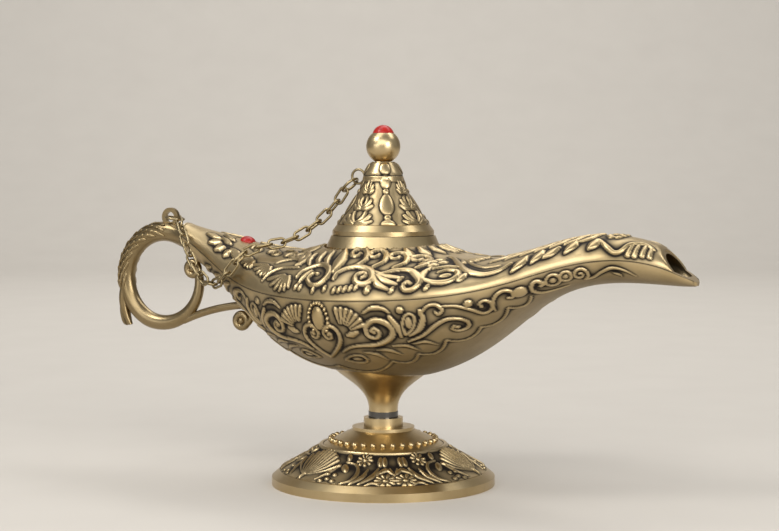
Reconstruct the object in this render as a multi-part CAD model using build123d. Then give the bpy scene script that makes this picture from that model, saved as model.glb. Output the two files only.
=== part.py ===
from build123d import *
from collections import namedtuple
from math import cos, radians, sin, sqrt
import os

# A chained genie oil lamp: turned foot, two-shell body with spout and tail, scroll handle,
# lift-off lid with a ball finial, and a cable chain from the handle to the lid.
# Frame: millimetres, +Z up, +X towards the spout, origin at the centre of the foot's underside.

# Foot
FOOT_RADIUS = 34.8
FOOT_RIM_HEIGHT = 2.6
FOOT_LEDGE = 2.2            # rim to the foot of the sloping flank, measured inwards
FLANK_FOOT_HEIGHT = 4.4
FLANK_TOP_RADIUS = 18.9
FLANK_TOP_HEIGHT = 12.4
FLANK_HOLLOW = 0.35         # how far the flank dips below a straight cone
BEAD_SEAT_RADIUS = 15.2
BEAD_SEAT_HEIGHT = 14.4
FLANGE_RADIUS = 9.7
FLANGE_THICKNESS = 1.0
COLLAR_RADIUS = 6.1
COLLAR_HEIGHT = 2.8
FOOT_HEIGHT = 20.8
FOOT_WALL = 1.8
FOOT_WEB = 4.6              # metal under the collar's top for the screw to pull on

# Spacer between foot and stem, and the screw that holds the three together
SPACER_RADIUS = 4.65
SPACER_HEIGHT = 1.9
SCREW_RADIUS = 2.0
SCREW_HEAD_RADIUS = 3.6
SCREW_HEAD_HEIGHT = 2.4
SCREW_ENGAGEMENT = 9.0      # thread length inside the stem
SCREW_HOLE_CLEARANCE = 0.25
THREAD_CLEARANCE = 0.05
TAPPED_HOLE_EXTRA = 1.0     # empty end of the tapped hole
WASHER_RADIUS = 4.4
WASHER_THICKNESS = 0.8

# Stem: its radius at heights above its lower end
STEM_FOOT_RADIUS = 4.5
STEM_FLARE = [(6.3, 5.7), (11.0, 10.0), (15.6, 13.7)]

# Body stations along X. Heights are measured from the stem's lower end.
Station = namedtuple("Station", "x half_width keel seam ridge")
BODY = [
    Station(-72.0, 4.4, 48.7, 53.7, 57.7),
    Station(-64.0, 7.4, 43.5, 49.8, 55.4),
    Station(-55.0, 11.4, 37.6, 45.1, 53.4),
    Station(-45.0, 17.0, 29.3, 40.9, 51.2),
    Station(-32.0, 24.4, 19.5, 38.0, 49.6),
    Station(-18.0, 30.8, 13.5, 36.9, 50.1),
    Station(0.0, 34.8, 10.9, 36.6, 51.5),
    Station(18.0, 33.0, 12.9, 37.2, 50.5),
    Station(34.0, 27.6, 20.5, 38.7, 48.7),
    Station(48.0, 20.6, 31.1, 41.8, 50.3),
    Station(61.0, 14.6, 38.9, 46.1, 54.1),
    Station(75.0, 10.6, 42.2, 49.1, 56.1),
    Station(86.0, 8.6, 42.4, 48.9, 54.7),
    Station(95.0, 6.7, 42.0, 46.5, 50.8),
    Station(101.2, 1.2, 42.1, 43.2, 44.2),
]
BODY_WALL = 1.4
TAIL_SOLID = 10.0           # length of solid metal at the tail end
LIP_SOLID = 2.4             # length of solid metal at the tip of the lip
MOUTH_TOP_BACK = 10.4       # tip of the lip back to where the slanted mouth leaves the ridge
MOUTH_SEAM_BACK = 5.3       # and to where it reaches the seam

# Neck of the cover, and the lid that sits in it
NECK_HEIGHT = 54.8          # top of the neck above the stem's lower end
NECK_TOP_RADIUS = 16.2
NECK_FOOT_RADIUS = 17.7
NECK_BAND = 3.4             # height of the tapering neck band
NECK_BORE_RADIUS = 14.3
LID_SEAT_GAP = 0.2
LID_FIT = 0.3               # radial play of the skirt in the neck
LID_SKIRT_DEPTH = 4.5
LID_WALL = 1.4
LID_RIM_RADIUS = 15.8
LID_RIM_HEIGHT = 1.3
LID_SHOULDER_RADIUS = 14.4
LID_SHOULDER_HEIGHT = 3.2
LID_WAIST_RADIUS = 8.6      # a point on the hollow flank of the lid
LID_WAIST_HEIGHT = 11.2
LID_BAND_RADIUS = 5.8
LID_BAND_FOOT = 17.0
LID_BAND_TOP = 18.9
LID_TOP_RADIUS = 3.6
LID_HEIGHT = 22.6

# Finial: ball, stud and stone, and the stone on the tail
BALL_RADIUS = 5.3
BALL_FLAT_RADIUS = 2.4
STUD_RADIUS = 1.25
STUD_HEAD_RADIUS = 2.3
STUD_HEAD_HEIGHT = 1.5
STUD_IN_BALL = 4.0
STUD_HOLE_CLEARANCE = 0.1
STONE_RADIUS = 3.3
STONE_GIRDLE = 0.5          # straight side of a stone, sunk in its setting
STONE_DOME = 2.5
STONE_CLEARANCE = 0.03
TAIL_STONE_RADIUS = 2.2
TAIL_STONE_DOME = 1.2
TAIL_STONE_X = -49.0

# Scroll handle. Heights are measured from the stem's lower end.
RING_CENTRE = (-80.9, 39.3)
RING_RADIUS = 15.3          # to the middle of the metal
RING_END_RADIUS = 13.2      # the ring draws in to this on the side next to the bowl
RING_TOP_THICKNESS = 6.4
RING_SIDE_THICKNESS = 5.4
RING_END_THICKNESS = 3.0
RING_WIDTH_RATIO = 0.9      # width over thickness
INNER_SCROLL = (-70.1, 42.6)
LOWER_SCROLL = (-51.5, 26.2)
SCROLL_RADIUS = 2.1
SCROLL_THICKNESS = 2.4
BRACE_THICKNESS = 2.5
ARM_THICKNESS = 2.0         # the bar that carries the lower scroll
BRACE = [(-73.8, 25.4), (-62.0, 29.4), (-46.0, 31.6)]
LOWER_SCROLL_ARM = [(-51.5, 24.1), (-48.3, 26.4), (-48.0, 31.3)]
LEAF = [(-96.3, 37.0, 1.7), (-97.1, 29.5, 1.6), (-94.8, 23.2, 0.6)]
LUG_HOLE = (-78.6, 59.4)
LUG_HOLE_RADIUS = 1.7
LUG_RADIUS = 3.1
LUG_THICKNESS = 1.4
LUG_STALK_WIDTH = 4.2

# Chain and its rings
WIRE_RADIUS = 0.42
LINK_LENGTH = 6.4           # outside
LINK_WIDTH = 3.6            # outside
LINK_COUNT = 21
RING_PLAY = 0.3             # free play between a ring and what it hangs on
JUMP_RING_RADIUS = 2.85     # to the middle of the wire
JUMP_RING_WIRE = 0.45       # radius of the rings' wire
LUG_RING_WAY = (0.85, -0.47, -0.12)    # from the lug's hole to the far side of its ring
LID_RING_WAY = (-0.72, -0.14, -0.68)   # from the lid's eye to the far side of its ring
EYE_RADIUS = 2.2
EYE_WIRE = 0.4
EYE_STANDOFF = 0.3          # from the lid's band to the eye's loop
EYE_SHANK_DEPTH = 2.4       # how deep the eye's shank sits in the lid
EYE_HEIGHT = 18.0           # above the lid's seat
EYE_CLEARANCE = 0.03
# The chain's route between its two rings: down the near side of the tail, round a hanging
# loop, over the cover's flank and up to the lid.
CHAIN_ROUTE = [
    (-71.2, -5.6, 79.6), (-67.4, -8.9, 74.9), (-63.4, -11.6, 69.4), (-59.4, -13.6, 65.2),
    (-55.0, -15.6, 62.2), (-49.6, -18.2, 62.0), (-44.6, -20.4, 65.2), (-41.4, -19.4, 69.6),
    (-38.6, -15.4, 72.9), (-35.4, -11.4, 74.2), (-32.0, -8.2, 74.8), (-28.4, -5.6, 76.4),
]

# Heights and places that follow from the sizes above
COLLAR_BASE_HEIGHT = FOOT_HEIGHT - COLLAR_HEIGHT
FLANGE_HEIGHT = COLLAR_BASE_HEIGHT - FLANGE_THICKNESS
MOUTH_TOP_X = BODY[-1].x - MOUTH_TOP_BACK
MOUTH_SEAM_X = BODY[-1].x - MOUTH_SEAM_BACK
STEM_Z = FOOT_HEIGHT + SPACER_HEIGHT
WEB_Z = FOOT_HEIGHT - FOOT_WEB
SCREW_SEAT_Z = WEB_Z - WASHER_THICKNESS
NECK_Z = STEM_Z + NECK_HEIGHT
LID_Z = NECK_Z + LID_SEAT_GAP
LID_WEB_Z = LID_Z + LID_BAND_FOOT
LID_TOP_Z = LID_Z + LID_HEIGHT
BALL_Z = LID_TOP_Z + sqrt(BALL_RADIUS**2 - BALL_FLAT_RADIUS**2)
STONE_Z = BALL_Z + sqrt(BALL_RADIUS**2 - STONE_RADIUS**2) - STONE_GIRDLE
REACH = 60.0                # longer than any cut needs to be


def straight(points):
    """Straight edges through points given as X or radius, and Z."""
    spots = [(x, 0, z) for x, z in points]
    return [Line(a, b) for a, b in zip(spots, spots[1:])]


def turned(edges):
    """A solid turned about Z from a closed outline in the XZ plane."""
    return revolve(make_face(edges), Axis.Z)


def upright(radius, low, high):
    """A cylinder on the Z axis between two heights."""
    return Pos(0, 0, (low + high) / 2) * Cylinder(radius, high - low)


def across(edges, depth):
    """A closed outline in the XZ plane, made a solid that reaches depth to either side of it."""
    return extrude(make_face(edges), depth, dir=(0, 1, 0), both=True)


def make_foot():
    def flank(inset):
        low = Vector(FOOT_RADIUS - FOOT_LEDGE - inset, 0, FLANK_FOOT_HEIGHT - inset / 2)
        high = Vector(FLANK_TOP_RADIUS - inset, 0, FLANK_TOP_HEIGHT - inset / 2)
        return ThreePointArc(low, (low + high) / 2 - Vector(0, 0, FLANK_HOLLOW), high)

    outside, inside = flank(0), flank(FOOT_WALL)
    rim = straight([(0, 0), (FOOT_RADIUS, 0), (FOOT_RADIUS, FOOT_RIM_HEIGHT),
                    ((outside @ 0).X, (outside @ 0).Z)])
    crown = straight([((outside @ 1).X, (outside @ 1).Z), (BEAD_SEAT_RADIUS, BEAD_SEAT_HEIGHT),
                      (FLANGE_RADIUS, FLANGE_HEIGHT), (FLANGE_RADIUS, COLLAR_BASE_HEIGHT),
                      (COLLAR_RADIUS, COLLAR_BASE_HEIGHT), (COLLAR_RADIUS, FOOT_HEIGHT),
                      (0, FOOT_HEIGHT), (0, 0)])
    skirt = straight([(0, -1), ((inside @ 0).X, -1), ((inside @ 0).X, (inside @ 0).Z)])
    ceiling = straight([((inside @ 1).X, (inside @ 1).Z), (WASHER_RADIUS + FOOT_WALL, WEB_Z),
                        (0, WEB_Z), (0, -1)])
    foot = turned(rim + [outside] + crown) - turned(skirt + [inside] + ceiling)
    return foot - upright(SCREW_RADIUS + SCREW_HOLE_CLEARANCE, 0, REACH)


def make_spacer():
    hole = upright(SCREW_RADIUS + SCREW_HOLE_CLEARANCE, FOOT_HEIGHT, STEM_Z)
    return upright(SPACER_RADIUS, FOOT_HEIGHT, STEM_Z) - hole


def make_washer():
    hole = upright(SCREW_RADIUS + SCREW_HOLE_CLEARANCE, SCREW_SEAT_Z, WEB_Z)
    return upright(WASHER_RADIUS, SCREW_SEAT_Z, WEB_Z) - hole


def make_screw():
    under = SCREW_SEAT_Z - SCREW_HEAD_HEIGHT
    head = upright(SCREW_HEAD_RADIUS, under, SCREW_SEAT_Z)
    head = fillet(head.edges().group_by(Axis.Z)[0], SCREW_HEAD_HEIGHT / 3)
    slot = Pos(0, 0, under) * Box(2 * SCREW_HEAD_RADIUS, SCREW_RADIUS / 2, SCREW_HEAD_HEIGHT)
    return head - slot + upright(SCREW_RADIUS, SCREW_SEAT_Z, STEM_Z + SCREW_ENGAGEMENT)


def oval(plane, half_width, up, down):
    """Two half ellipses that meet level with the plane's origin."""
    upper = EllipticalCenterArc((0, 0), half_width, up, 0, arc_size=180)
    lower = EllipticalCenterArc((0, 0), half_width, down, 180, arc_size=180)
    return plane * make_face([upper, lower])


def body_section(station):
    """The body's outline at a station. The plane's own x is along Y and its own y along Z."""
    plane = Plane((station.x, 0, STEM_Z + station.seam), x_dir=(0, 1, 0), z_dir=(1, 0, 0))
    return oval(plane, station.half_width, station.ridge - station.seam, station.seam - station.keel)


def station_at(x):
    """The station at x, on the straight line between its two neighbours."""
    a, b = next((a, b) for a, b in zip(BODY, BODY[1:]) if a.x <= x <= b.x)
    share = (x - a.x) / (b.x - a.x)
    return Station(*[p + (q - p) * share for p, q in zip(a, b)])


def inner_wall(station):
    return station._replace(half_width=station.half_width - BODY_WALL,
                            keel=station.keel + BODY_WALL, ridge=station.ridge - BODY_WALL)


def body_cavity():
    tail_x, lip_x = BODY[0].x + TAIL_SOLID, BODY[-1].x - LIP_SOLID
    middle = [s for s in BODY if tail_x < s.x < lip_x]
    inner = [station_at(tail_x), *middle, station_at(lip_x)]
    return loft([body_section(inner_wall(s)) for s in inner])


def below_seam():
    """Everything under the seam, which runs level across the body."""
    seam = Spline([(s.x, 0, STEM_Z + s.seam) for s in BODY])
    start, end = seam @ 0, seam @ 1
    west, east = start.X - REACH, end.X + REACH
    rest = straight([(end.X, end.Z), (east, end.Z), (east, 0), (west, 0), (west, start.Z),
                     (start.X, start.Z)])
    return across([seam, *rest], REACH)


def make_stem():
    flare = [(STEM_FOOT_RADIUS, 0), *STEM_FLARE]
    curve = Spline([(radius, 0, STEM_Z + height) for radius, height in flare])
    radius, height = STEM_FLARE[-1]
    top = STEM_Z + height
    return turned([curve, *straight([(radius, top), (0, top), (0, STEM_Z), (STEM_FOOT_RADIUS, STEM_Z)])])


def past_mouth():
    """What the slanted mouth cuts off the end of the cover."""
    top, foot = station_at(MOUTH_TOP_X), station_at(MOUTH_SEAM_X)
    run, drop = foot.x - top.x, top.ridge - foot.seam
    high = (top.x - run * 4, STEM_Z + top.ridge + drop * 4)
    low = (foot.x + run * 4, STEM_Z + foot.seam - drop * 4)
    return across(straight([high, low, (low[0] + REACH, high[1]), high]), REACH)


def make_bowl(body, cavity, lower_space):
    drill = STEM_Z + SCREW_ENGAGEMENT + TAPPED_HOLE_EXTRA
    bowl = (body & lower_space) + make_stem() - cavity
    return bowl - upright(SCREW_RADIUS + THREAD_CLEARANCE, STEM_Z, drill)


def make_cover(body, cavity, lower_space):
    root, band = STEM_Z + station_at(0).seam, NECK_Z - NECK_BAND
    neck = turned(straight([(0, root), (NECK_FOOT_RADIUS, root), (NECK_FOOT_RADIUS, band),
                            (NECK_TOP_RADIUS, NECK_Z), (0, NECK_Z), (0, root)]))
    cover = (body - lower_space) + neck - cavity - past_mouth()
    cover -= upright(NECK_BORE_RADIUS, root, NECK_Z + NECK_BAND)
    return cover - tail_stone_seat() * upright(TAIL_STONE_RADIUS + STONE_CLEARANCE, 0, REACH / 10)


def stone(radius, dome):
    """A cabochon: a straight girdle under a dome, standing on the XY plane."""
    curve = (radius**2 + dome**2) / (2 * dome)
    top = STONE_GIRDLE + dome
    cap = Pos(0, 0, top - curve) * Sphere(curve) & upright(radius, STONE_GIRDLE, top)
    return upright(radius, 0, STONE_GIRDLE) + cap


def tail_stone_seat():
    """The floor of the tail stone's setting, square to the ridge."""
    near, far = station_at(TAIL_STONE_X - TAIL_STONE_RADIUS), station_at(TAIL_STONE_X + TAIL_STONE_RADIUS)
    along = Vector(far.x - near.x, 0, far.ridge - near.ridge)
    up = along.cross(Vector(0, -1, 0)).normalized()
    top = Vector(TAIL_STONE_X, 0, STEM_Z + station_at(TAIL_STONE_X).ridge)
    return Plane(top - up * STONE_GIRDLE, x_dir=along, z_dir=up).location


def lid_outline(inset):
    """The flank of the lid, from its shoulder up to its band."""
    spots = [(LID_SHOULDER_RADIUS, LID_SHOULDER_HEIGHT), (LID_WAIST_RADIUS, LID_WAIST_HEIGHT),
             (LID_BAND_RADIUS, LID_BAND_FOOT)]
    return ThreePointArc(*[(radius - inset, 0, LID_Z + height) for radius, height in spots])


def eye_centre():
    return Vector(-LID_BAND_RADIUS - EYE_STANDOFF - EYE_WIRE - EYE_RADIUS, 0, LID_Z + EYE_HEIGHT)


def eye_shank(radius):
    """The straight part of the eye, level, with its end in the lid."""
    inner = -LID_BAND_RADIUS + EYE_SHANK_DEPTH
    outer = eye_centre().X + EYE_RADIUS
    return Pos((inner + outer) / 2, 0, eye_centre().Z) * Rot(0, 90, 0) * Cylinder(radius, inner - outer)


def make_lid():
    skirt = NECK_BORE_RADIUS - LID_FIT
    outside, inside = lid_outline(0), lid_outline(LID_WALL)
    top = straight([(LID_BAND_RADIUS, LID_WEB_Z), (LID_BAND_RADIUS, LID_Z + LID_BAND_TOP),
                    (LID_TOP_RADIUS, LID_TOP_Z), (0, LID_TOP_Z), (0, LID_WEB_Z),
                    (LID_BAND_RADIUS - LID_WALL, LID_WEB_Z)])
    shoulder = LID_Z + LID_SHOULDER_HEIGHT
    rim = straight([(LID_SHOULDER_RADIUS - LID_WALL, shoulder), (skirt - LID_WALL, LID_Z),
                    (skirt - LID_WALL, LID_Z - LID_SKIRT_DEPTH), (skirt, LID_Z - LID_SKIRT_DEPTH),
                    (skirt, LID_Z), (LID_RIM_RADIUS, LID_Z), (LID_RIM_RADIUS, LID_Z + LID_RIM_HEIGHT),
                    (LID_SHOULDER_RADIUS, shoulder)])
    lid = turned([outside, inside, *top, *rim])
    return lid - upright(STUD_RADIUS + STUD_HOLE_CLEARANCE, LID_Z, LID_TOP_Z) - eye_shank(EYE_WIRE + EYE_CLEARANCE)


def make_ball():
    ball = Pos(0, 0, BALL_Z) * Sphere(BALL_RADIUS)
    ball -= upright(BALL_RADIUS, LID_TOP_Z - BALL_RADIUS, LID_TOP_Z)
    ball -= upright(STUD_RADIUS + THREAD_CLEARANCE, LID_TOP_Z, LID_TOP_Z + STUD_IN_BALL + STUD_RADIUS)
    return ball - upright(STONE_RADIUS + STONE_CLEARANCE, STONE_Z, BALL_Z + BALL_RADIUS)


def make_stud():
    head = upright(STUD_HEAD_RADIUS, LID_WEB_Z - STUD_HEAD_HEIGHT, LID_WEB_Z)
    head = fillet(head.edges().group_by(Axis.Z)[0], STUD_HEAD_HEIGHT / 3)
    return head + upright(STUD_RADIUS, LID_WEB_Z, LID_TOP_Z + STUD_IN_BALL)


def make_eye():
    loop = Plane(eye_centre(), x_dir=(1, 0, 0), z_dir=(0, 1, 0)).location * Torus(EYE_RADIUS, EYE_WIRE)
    return loop + eye_shank(EYE_WIRE)


def at_height(x, height):
    return Vector(x, 0, STEM_Z + height)


def handle_ring():
    """The finger ring: a tapering bar that starts as the tail and draws in on its way round."""
    first, turn, last = 85, 245, 365
    tail = BODY[0]
    tail_plane = Plane(at_height(tail.x, tail.seam), x_dir=(0, 1, 0), z_dir=(-1, 0, 0))
    sections = [oval(tail_plane, tail.half_width, tail.seam - tail.keel, tail.ridge - tail.seam)]
    for angle in range(first, last + 1, 20):
        near = min((angle - first) / (turn - first), 1)
        far = max((angle - turn) / (last - turn), 0)
        thickness = (RING_TOP_THICKNESS + (RING_SIDE_THICKNESS - RING_TOP_THICKNESS) * near
                     + (RING_END_THICKNESS - RING_SIDE_THICKNESS) * far)
        radius = RING_RADIUS + (RING_END_RADIUS - RING_RADIUS) * far
        c, s = cos(radians(angle)), sin(radians(angle))
        spot = at_height(RING_CENTRE[0] + radius * c, RING_CENTRE[1] + radius * s)
        plane = Plane(spot, x_dir=(0, 1, 0), z_dir=(-s, 0, c))
        sections.append(oval(plane, thickness * RING_WIDTH_RATIO / 2, thickness / 2, thickness / 2))
    return loft(sections)


def scroll(centre):
    """A curled end: a ring of metal round a boss."""
    place = Plane(at_height(*centre), x_dir=(1, 0, 0), z_dir=(0, 1, 0)).location
    return place * Torus(SCROLL_RADIUS, SCROLL_THICKNESS / 2) + place * Sphere(SCROLL_RADIUS * 0.6)


def bar(points, thickness):
    """A round bar bent to one arc through three points."""
    path = ThreePointArc(*[at_height(x, z) for x, z in points])
    return sweep(Plane(path @ 0, z_dir=path % 0) * Circle(thickness / 2), path)


def handle_leaf():
    """The leaf that springs from the ring's outer side and ends in a free tip."""
    spots = [at_height(x, z) for x, z, _ in LEAF]
    ways = [spots[1] - spots[0], spots[2] - spots[0], spots[2] - spots[1]]
    planes = [Plane(spot, x_dir=(0, 1, 0), z_dir=way) for spot, way in zip(spots, ways)]
    return loft([oval(plane, half * 1.3, half, half) for plane, (_, _, half) in zip(planes, LEAF)])


def lug():
    hole = at_height(*LUG_HOLE)
    head = Plane(hole, x_dir=(1, 0, 0), z_dir=(0, 1, 0)).location * Cylinder(LUG_RADIUS, LUG_THICKNESS)
    root = RING_CENTRE[1] + RING_RADIUS
    stalk_height = LUG_HOLE[1] - root
    stalk = Pos(at_height(LUG_HOLE[0], root + stalk_height / 2)) * Box(
        LUG_STALK_WIDTH, LUG_THICKNESS, stalk_height)
    return head + stalk


def lug_drill():
    place = Plane(at_height(*LUG_HOLE), x_dir=(1, 0, 0), z_dir=(0, 1, 0)).location
    return place * Cylinder(LUG_HOLE_RADIUS, 4 * LUG_THICKNESS)


def make_handle(body):
    struts = bar(BRACE, BRACE_THICKNESS) - body + (bar(LOWER_SCROLL_ARM, ARM_THICKNESS) - body)
    handle = handle_ring() + scroll(INNER_SCROLL) + handle_leaf() + lug()
    return handle + struts + scroll(LOWER_SCROLL) - lug_drill()


def flat_normal(way):
    """The normal of a ring or link that holds the Y axis as nearly as its way allows."""
    return way.cross(Vector(0, 1, 0)).normalized()


def jump_ring(centre, way):
    place = Plane(centre, x_dir=way, z_dir=flat_normal(way)).location
    return place * Torus(JUMP_RING_RADIUS, JUMP_RING_WIRE)


def ring_places():
    """Centre, way and chain pivot of the ring in the lug and of the ring in the lid's eye."""
    pivot = 2 * JUMP_RING_RADIUS - (JUMP_RING_WIRE + WIRE_RADIUS + RING_PLAY) / 2
    lug_way, lid_way = Vector(*LUG_RING_WAY).normalized(), Vector(*LID_RING_WAY).normalized()
    lug_start = at_height(*LUG_HOLE)
    level = Vector(lid_way.X, 0, lid_way.Z).normalized()
    lid_start = eye_centre() + level * EYE_RADIUS - lid_way * (EYE_WIRE + JUMP_RING_WIRE + RING_PLAY)
    return [(start + way * JUMP_RING_RADIUS, way, start + way * pivot)
            for start, way in ((lug_start, lug_way), (lid_start, lid_way))]


def make_link():
    """One oval link in the XY plane, its length along X."""
    run, bend = (LINK_LENGTH - LINK_WIDTH) / 2, LINK_WIDTH / 2 - WIRE_RADIUS
    path = Wire([
        Line((-run, -bend), (run, -bend)), CenterArc((run, 0), bend, -90, 180),
        Line((run, bend), (-run, bend)), CenterArc((-run, 0), bend, 90, 180)])
    return sweep(Plane((-run, -bend, 0), z_dir=(1, 0, 0)) * Circle(WIRE_RADIUS), path)


def chain_pivots():
    """Where neighbouring links meet, evenly spaced along the route."""
    (_, _, start), (_, _, end) = ring_places()
    route = Spline([start, *CHAIN_ROUTE, end])
    return [route.position_at(route.length * i / LINK_COUNT, PositionMode.LENGTH)
            for i in range(LINK_COUNT + 1)]


def make_chain():
    """The links in order from the lug: upright and flat in turn."""
    link, links = make_link(), []
    pivots = chain_pivots()
    for i, (a, b) in enumerate(zip(pivots, pivots[1:])):
        way = (b - a).normalized()
        flat = flat_normal(way)
        normal = flat if i % 2 else flat.cross(way)
        links.append(Plane((a + b) / 2, x_dir=way, z_dir=normal).location * link)
    return links


def make_parts():
    body = loft([body_section(s) for s in BODY])
    cavity, lower_space = body_cavity(), below_seam()
    (lug_centre, lug_way, _), (lid_centre, lid_way, _) = ring_places()
    parts = {
        "foot": make_foot(),
        "stem_spacer": make_spacer(),
        "screw_washer": make_washer(),
        "foot_screw": make_screw(),
        "lower_bowl": make_bowl(body, cavity, lower_space),
        "upper_cover": make_cover(body, cavity, lower_space),
        "handle": make_handle(body),
        "tail_stone": tail_stone_seat() * stone(TAIL_STONE_RADIUS, TAIL_STONE_DOME),
        "lid": make_lid(),
        "finial_ball": make_ball(),
        "finial_stud": make_stud(),
        "finial_stone": Pos(0, 0, STONE_Z) * stone(STONE_RADIUS, STONE_DOME),
        "lid_eye": make_eye(),
        "lid_ring": jump_ring(lid_centre, lid_way),
        "lug_ring": jump_ring(lug_centre, lug_way),
    }
    for i, link in enumerate(make_chain(), start=1):
        parts[f"chain_link_{i:02d}"] = link
    return parts


if __name__ == "__main__":
    os.makedirs("parts", exist_ok=True)
    for name, part in make_parts().items():
        export_step(part, f"parts/{name}.step")
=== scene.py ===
# %% [markdown]
# # A chained oil lamp
# The lamp is cast brass with an antique finish: dark in the hollows, worn bright on the raised
# scrolls. The CAD model already gives the turned foot, the two body shells, the handle, the lid and
# every chain link in their places. This lesson adds what the casting carries on top of those shapes:
# the relief, the beads, the finishes, the light and the camera.

# %% Load the CAD frame
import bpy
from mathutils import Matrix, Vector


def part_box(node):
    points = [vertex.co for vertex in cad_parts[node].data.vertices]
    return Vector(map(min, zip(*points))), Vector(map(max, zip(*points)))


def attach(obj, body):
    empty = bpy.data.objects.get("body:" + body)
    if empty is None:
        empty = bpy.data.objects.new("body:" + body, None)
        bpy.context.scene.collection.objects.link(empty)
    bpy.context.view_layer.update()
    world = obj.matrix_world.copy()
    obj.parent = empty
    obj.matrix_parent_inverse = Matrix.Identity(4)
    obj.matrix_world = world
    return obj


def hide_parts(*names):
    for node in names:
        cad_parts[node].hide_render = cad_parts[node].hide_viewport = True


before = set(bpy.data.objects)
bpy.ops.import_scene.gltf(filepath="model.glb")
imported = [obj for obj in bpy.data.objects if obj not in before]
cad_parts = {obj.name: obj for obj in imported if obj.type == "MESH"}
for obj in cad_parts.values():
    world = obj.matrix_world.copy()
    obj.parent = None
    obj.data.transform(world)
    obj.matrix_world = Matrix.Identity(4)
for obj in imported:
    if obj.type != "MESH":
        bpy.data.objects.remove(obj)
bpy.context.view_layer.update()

import math
import bpy
import numpy as np
from mathutils import Vector
from mathutils.bvhtree import BVHTree

MM = 0.001

# %% [markdown]
# ## Camera
# The photograph looks at the lamp from about the height of its lid, with the spout turned about 27
# degrees towards the camera. A long lens keeps the round foot and lid nearly undistorted, so a lens
# of 85 mm on a sensor 36 mm wide is used.

# %% Place the camera
YAW = 27.0                                    # degrees round the lamp, from straight in front
CAMERA_REACH, CAMERA_HEIGHT = 0.571, 0.1005   # metres from the lamp's axis, and over the floor
CAMERA_TILT, CAMERA_PAN = 86.75, -0.193       # degrees from straight down, and off the axis
camera = bpy.data.objects.new("camera", bpy.data.cameras.new("camera"))
camera.data.lens, camera.data.sensor_width = 85.0, 36.0
camera.data.clip_start = 0.01
camera.location = (CAMERA_REACH * math.sin(math.radians(YAW)),
                   -CAMERA_REACH * math.cos(math.radians(YAW)), CAMERA_HEIGHT)
camera.rotation_euler = (math.radians(CAMERA_TILT), 0, math.radians(YAW + CAMERA_PAN))
bpy.context.scene.collection.objects.link(camera)
bpy.context.scene.camera = camera
bpy.context.scene.view_settings.view_transform = "Standard"
print("camera at", [round(v, 3) for v in camera.location])

# %% [markdown]
# ## Shader sums
# A procedural finish is mostly arithmetic on masks. Wrapping a socket in a small class lets that
# arithmetic be written as ordinary sums, and each sum adds its own Math node to the tree.

# %% A socket that can be added and multiplied
class Mask:
    """A value in a node tree. Sums with numbers or other masks add Math nodes."""

    def __init__(self, tree, socket):
        self.tree, self.socket = tree, socket

    def node(self, kind, settings=None, out=0, **values):
        """Adds a node of any kind: its settings first, then the values or links of its sockets."""
        made = self.tree.nodes.new(kind)
        for key, value in (settings or {}).items():
            setattr(made, key, value)
        feed(made, **values)
        return Mask(self.tree, made.outputs[out])

    def sum(self, operation, first, second):
        settings = {"operation": operation, "use_clamp": operation == "MAXIMUM"}
        return self.node("ShaderNodeMath", settings, i0=first, i1=second)

    def __add__(self, other): return self.sum("ADD", self, other)
    def __radd__(self, other): return self.sum("ADD", other, self)
    def __sub__(self, other): return self.sum("SUBTRACT", self, other)
    def __rsub__(self, other): return self.sum("SUBTRACT", other, self)
    def __mul__(self, other): return self.sum("MULTIPLY", self, other)
    def __rmul__(self, other): return self.sum("MULTIPLY", other, self)

    def held(self):
        """The same value kept between 0 and 1."""
        return self.sum("MAXIMUM", self, 0.0)

    def between(self, low, high):
        """A smooth step from 0 at low to 1 at high."""
        return self.node("ShaderNodeMapRange", {"interpolation_type": "SMOOTHSTEP"},
                         Value=self, From_Min=low, From_Max=high)


print("a mask can be added, taken away, multiplied, held and stepped")

# %% Helpers for a finish
def finish_tree(name):
    """A material with an empty surface, and a first mask to build from."""
    material = bpy.data.materials.new(name)
    material.use_nodes = True
    shader = material.node_tree.nodes["Principled BSDF"]
    return material, shader, Mask(material.node_tree, None)


def feed(node, **values):
    """Sets or links a node's sockets, named in full or by their place, as i0, i1 and so on."""
    for key, value in values.items():
        spot = node.inputs[int(key[1:]) if key[1:].isdigit() else key.replace("_", " ")]
        if isinstance(value, Mask):
            value.tree.links.new(value.socket, spot)
        else:
            spot.default_value = value


def mixed(share, low, high):
    """A colour between two others."""
    return share.node("ShaderNodeMix", {"data_type": "RGBA"}, out=2, i0=share, i6=low, i7=high)


def noise(start, scale, **values):
    """Cloudy noise that is fixed to the piece."""
    place = start.node("ShaderNodeTexCoord", out=3)
    return start.node("ShaderNodeTexNoise", Vector=place, Scale=scale, **values)


print("finish helpers ready")

# %% [markdown]
# ## Antique brass
# Antiqued brass is darkened all over and then rubbed: what stands proud is bright, what lies deep
# stays dark and dull. The relief skins below carry a point attribute named hollow, from 0 on a crest
# to 1 in a crevice, so the finish follows the relief from every side. On the bowl and the cover the
# same attribute also holds painted shade, which darkens the parts that face down. Blender could find
# the crevices from the mesh, but the drawing of the relief knows them better. Two sizes of noise add
# the uneven rub and the fine grain of the casting.

# %% Make the brass finishes
RUBBED = (0.86, 0.84, 0.78)      # how the less polished patches tone the colour down
GRAIN_DEPTH = 0.00006            # metres


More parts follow.
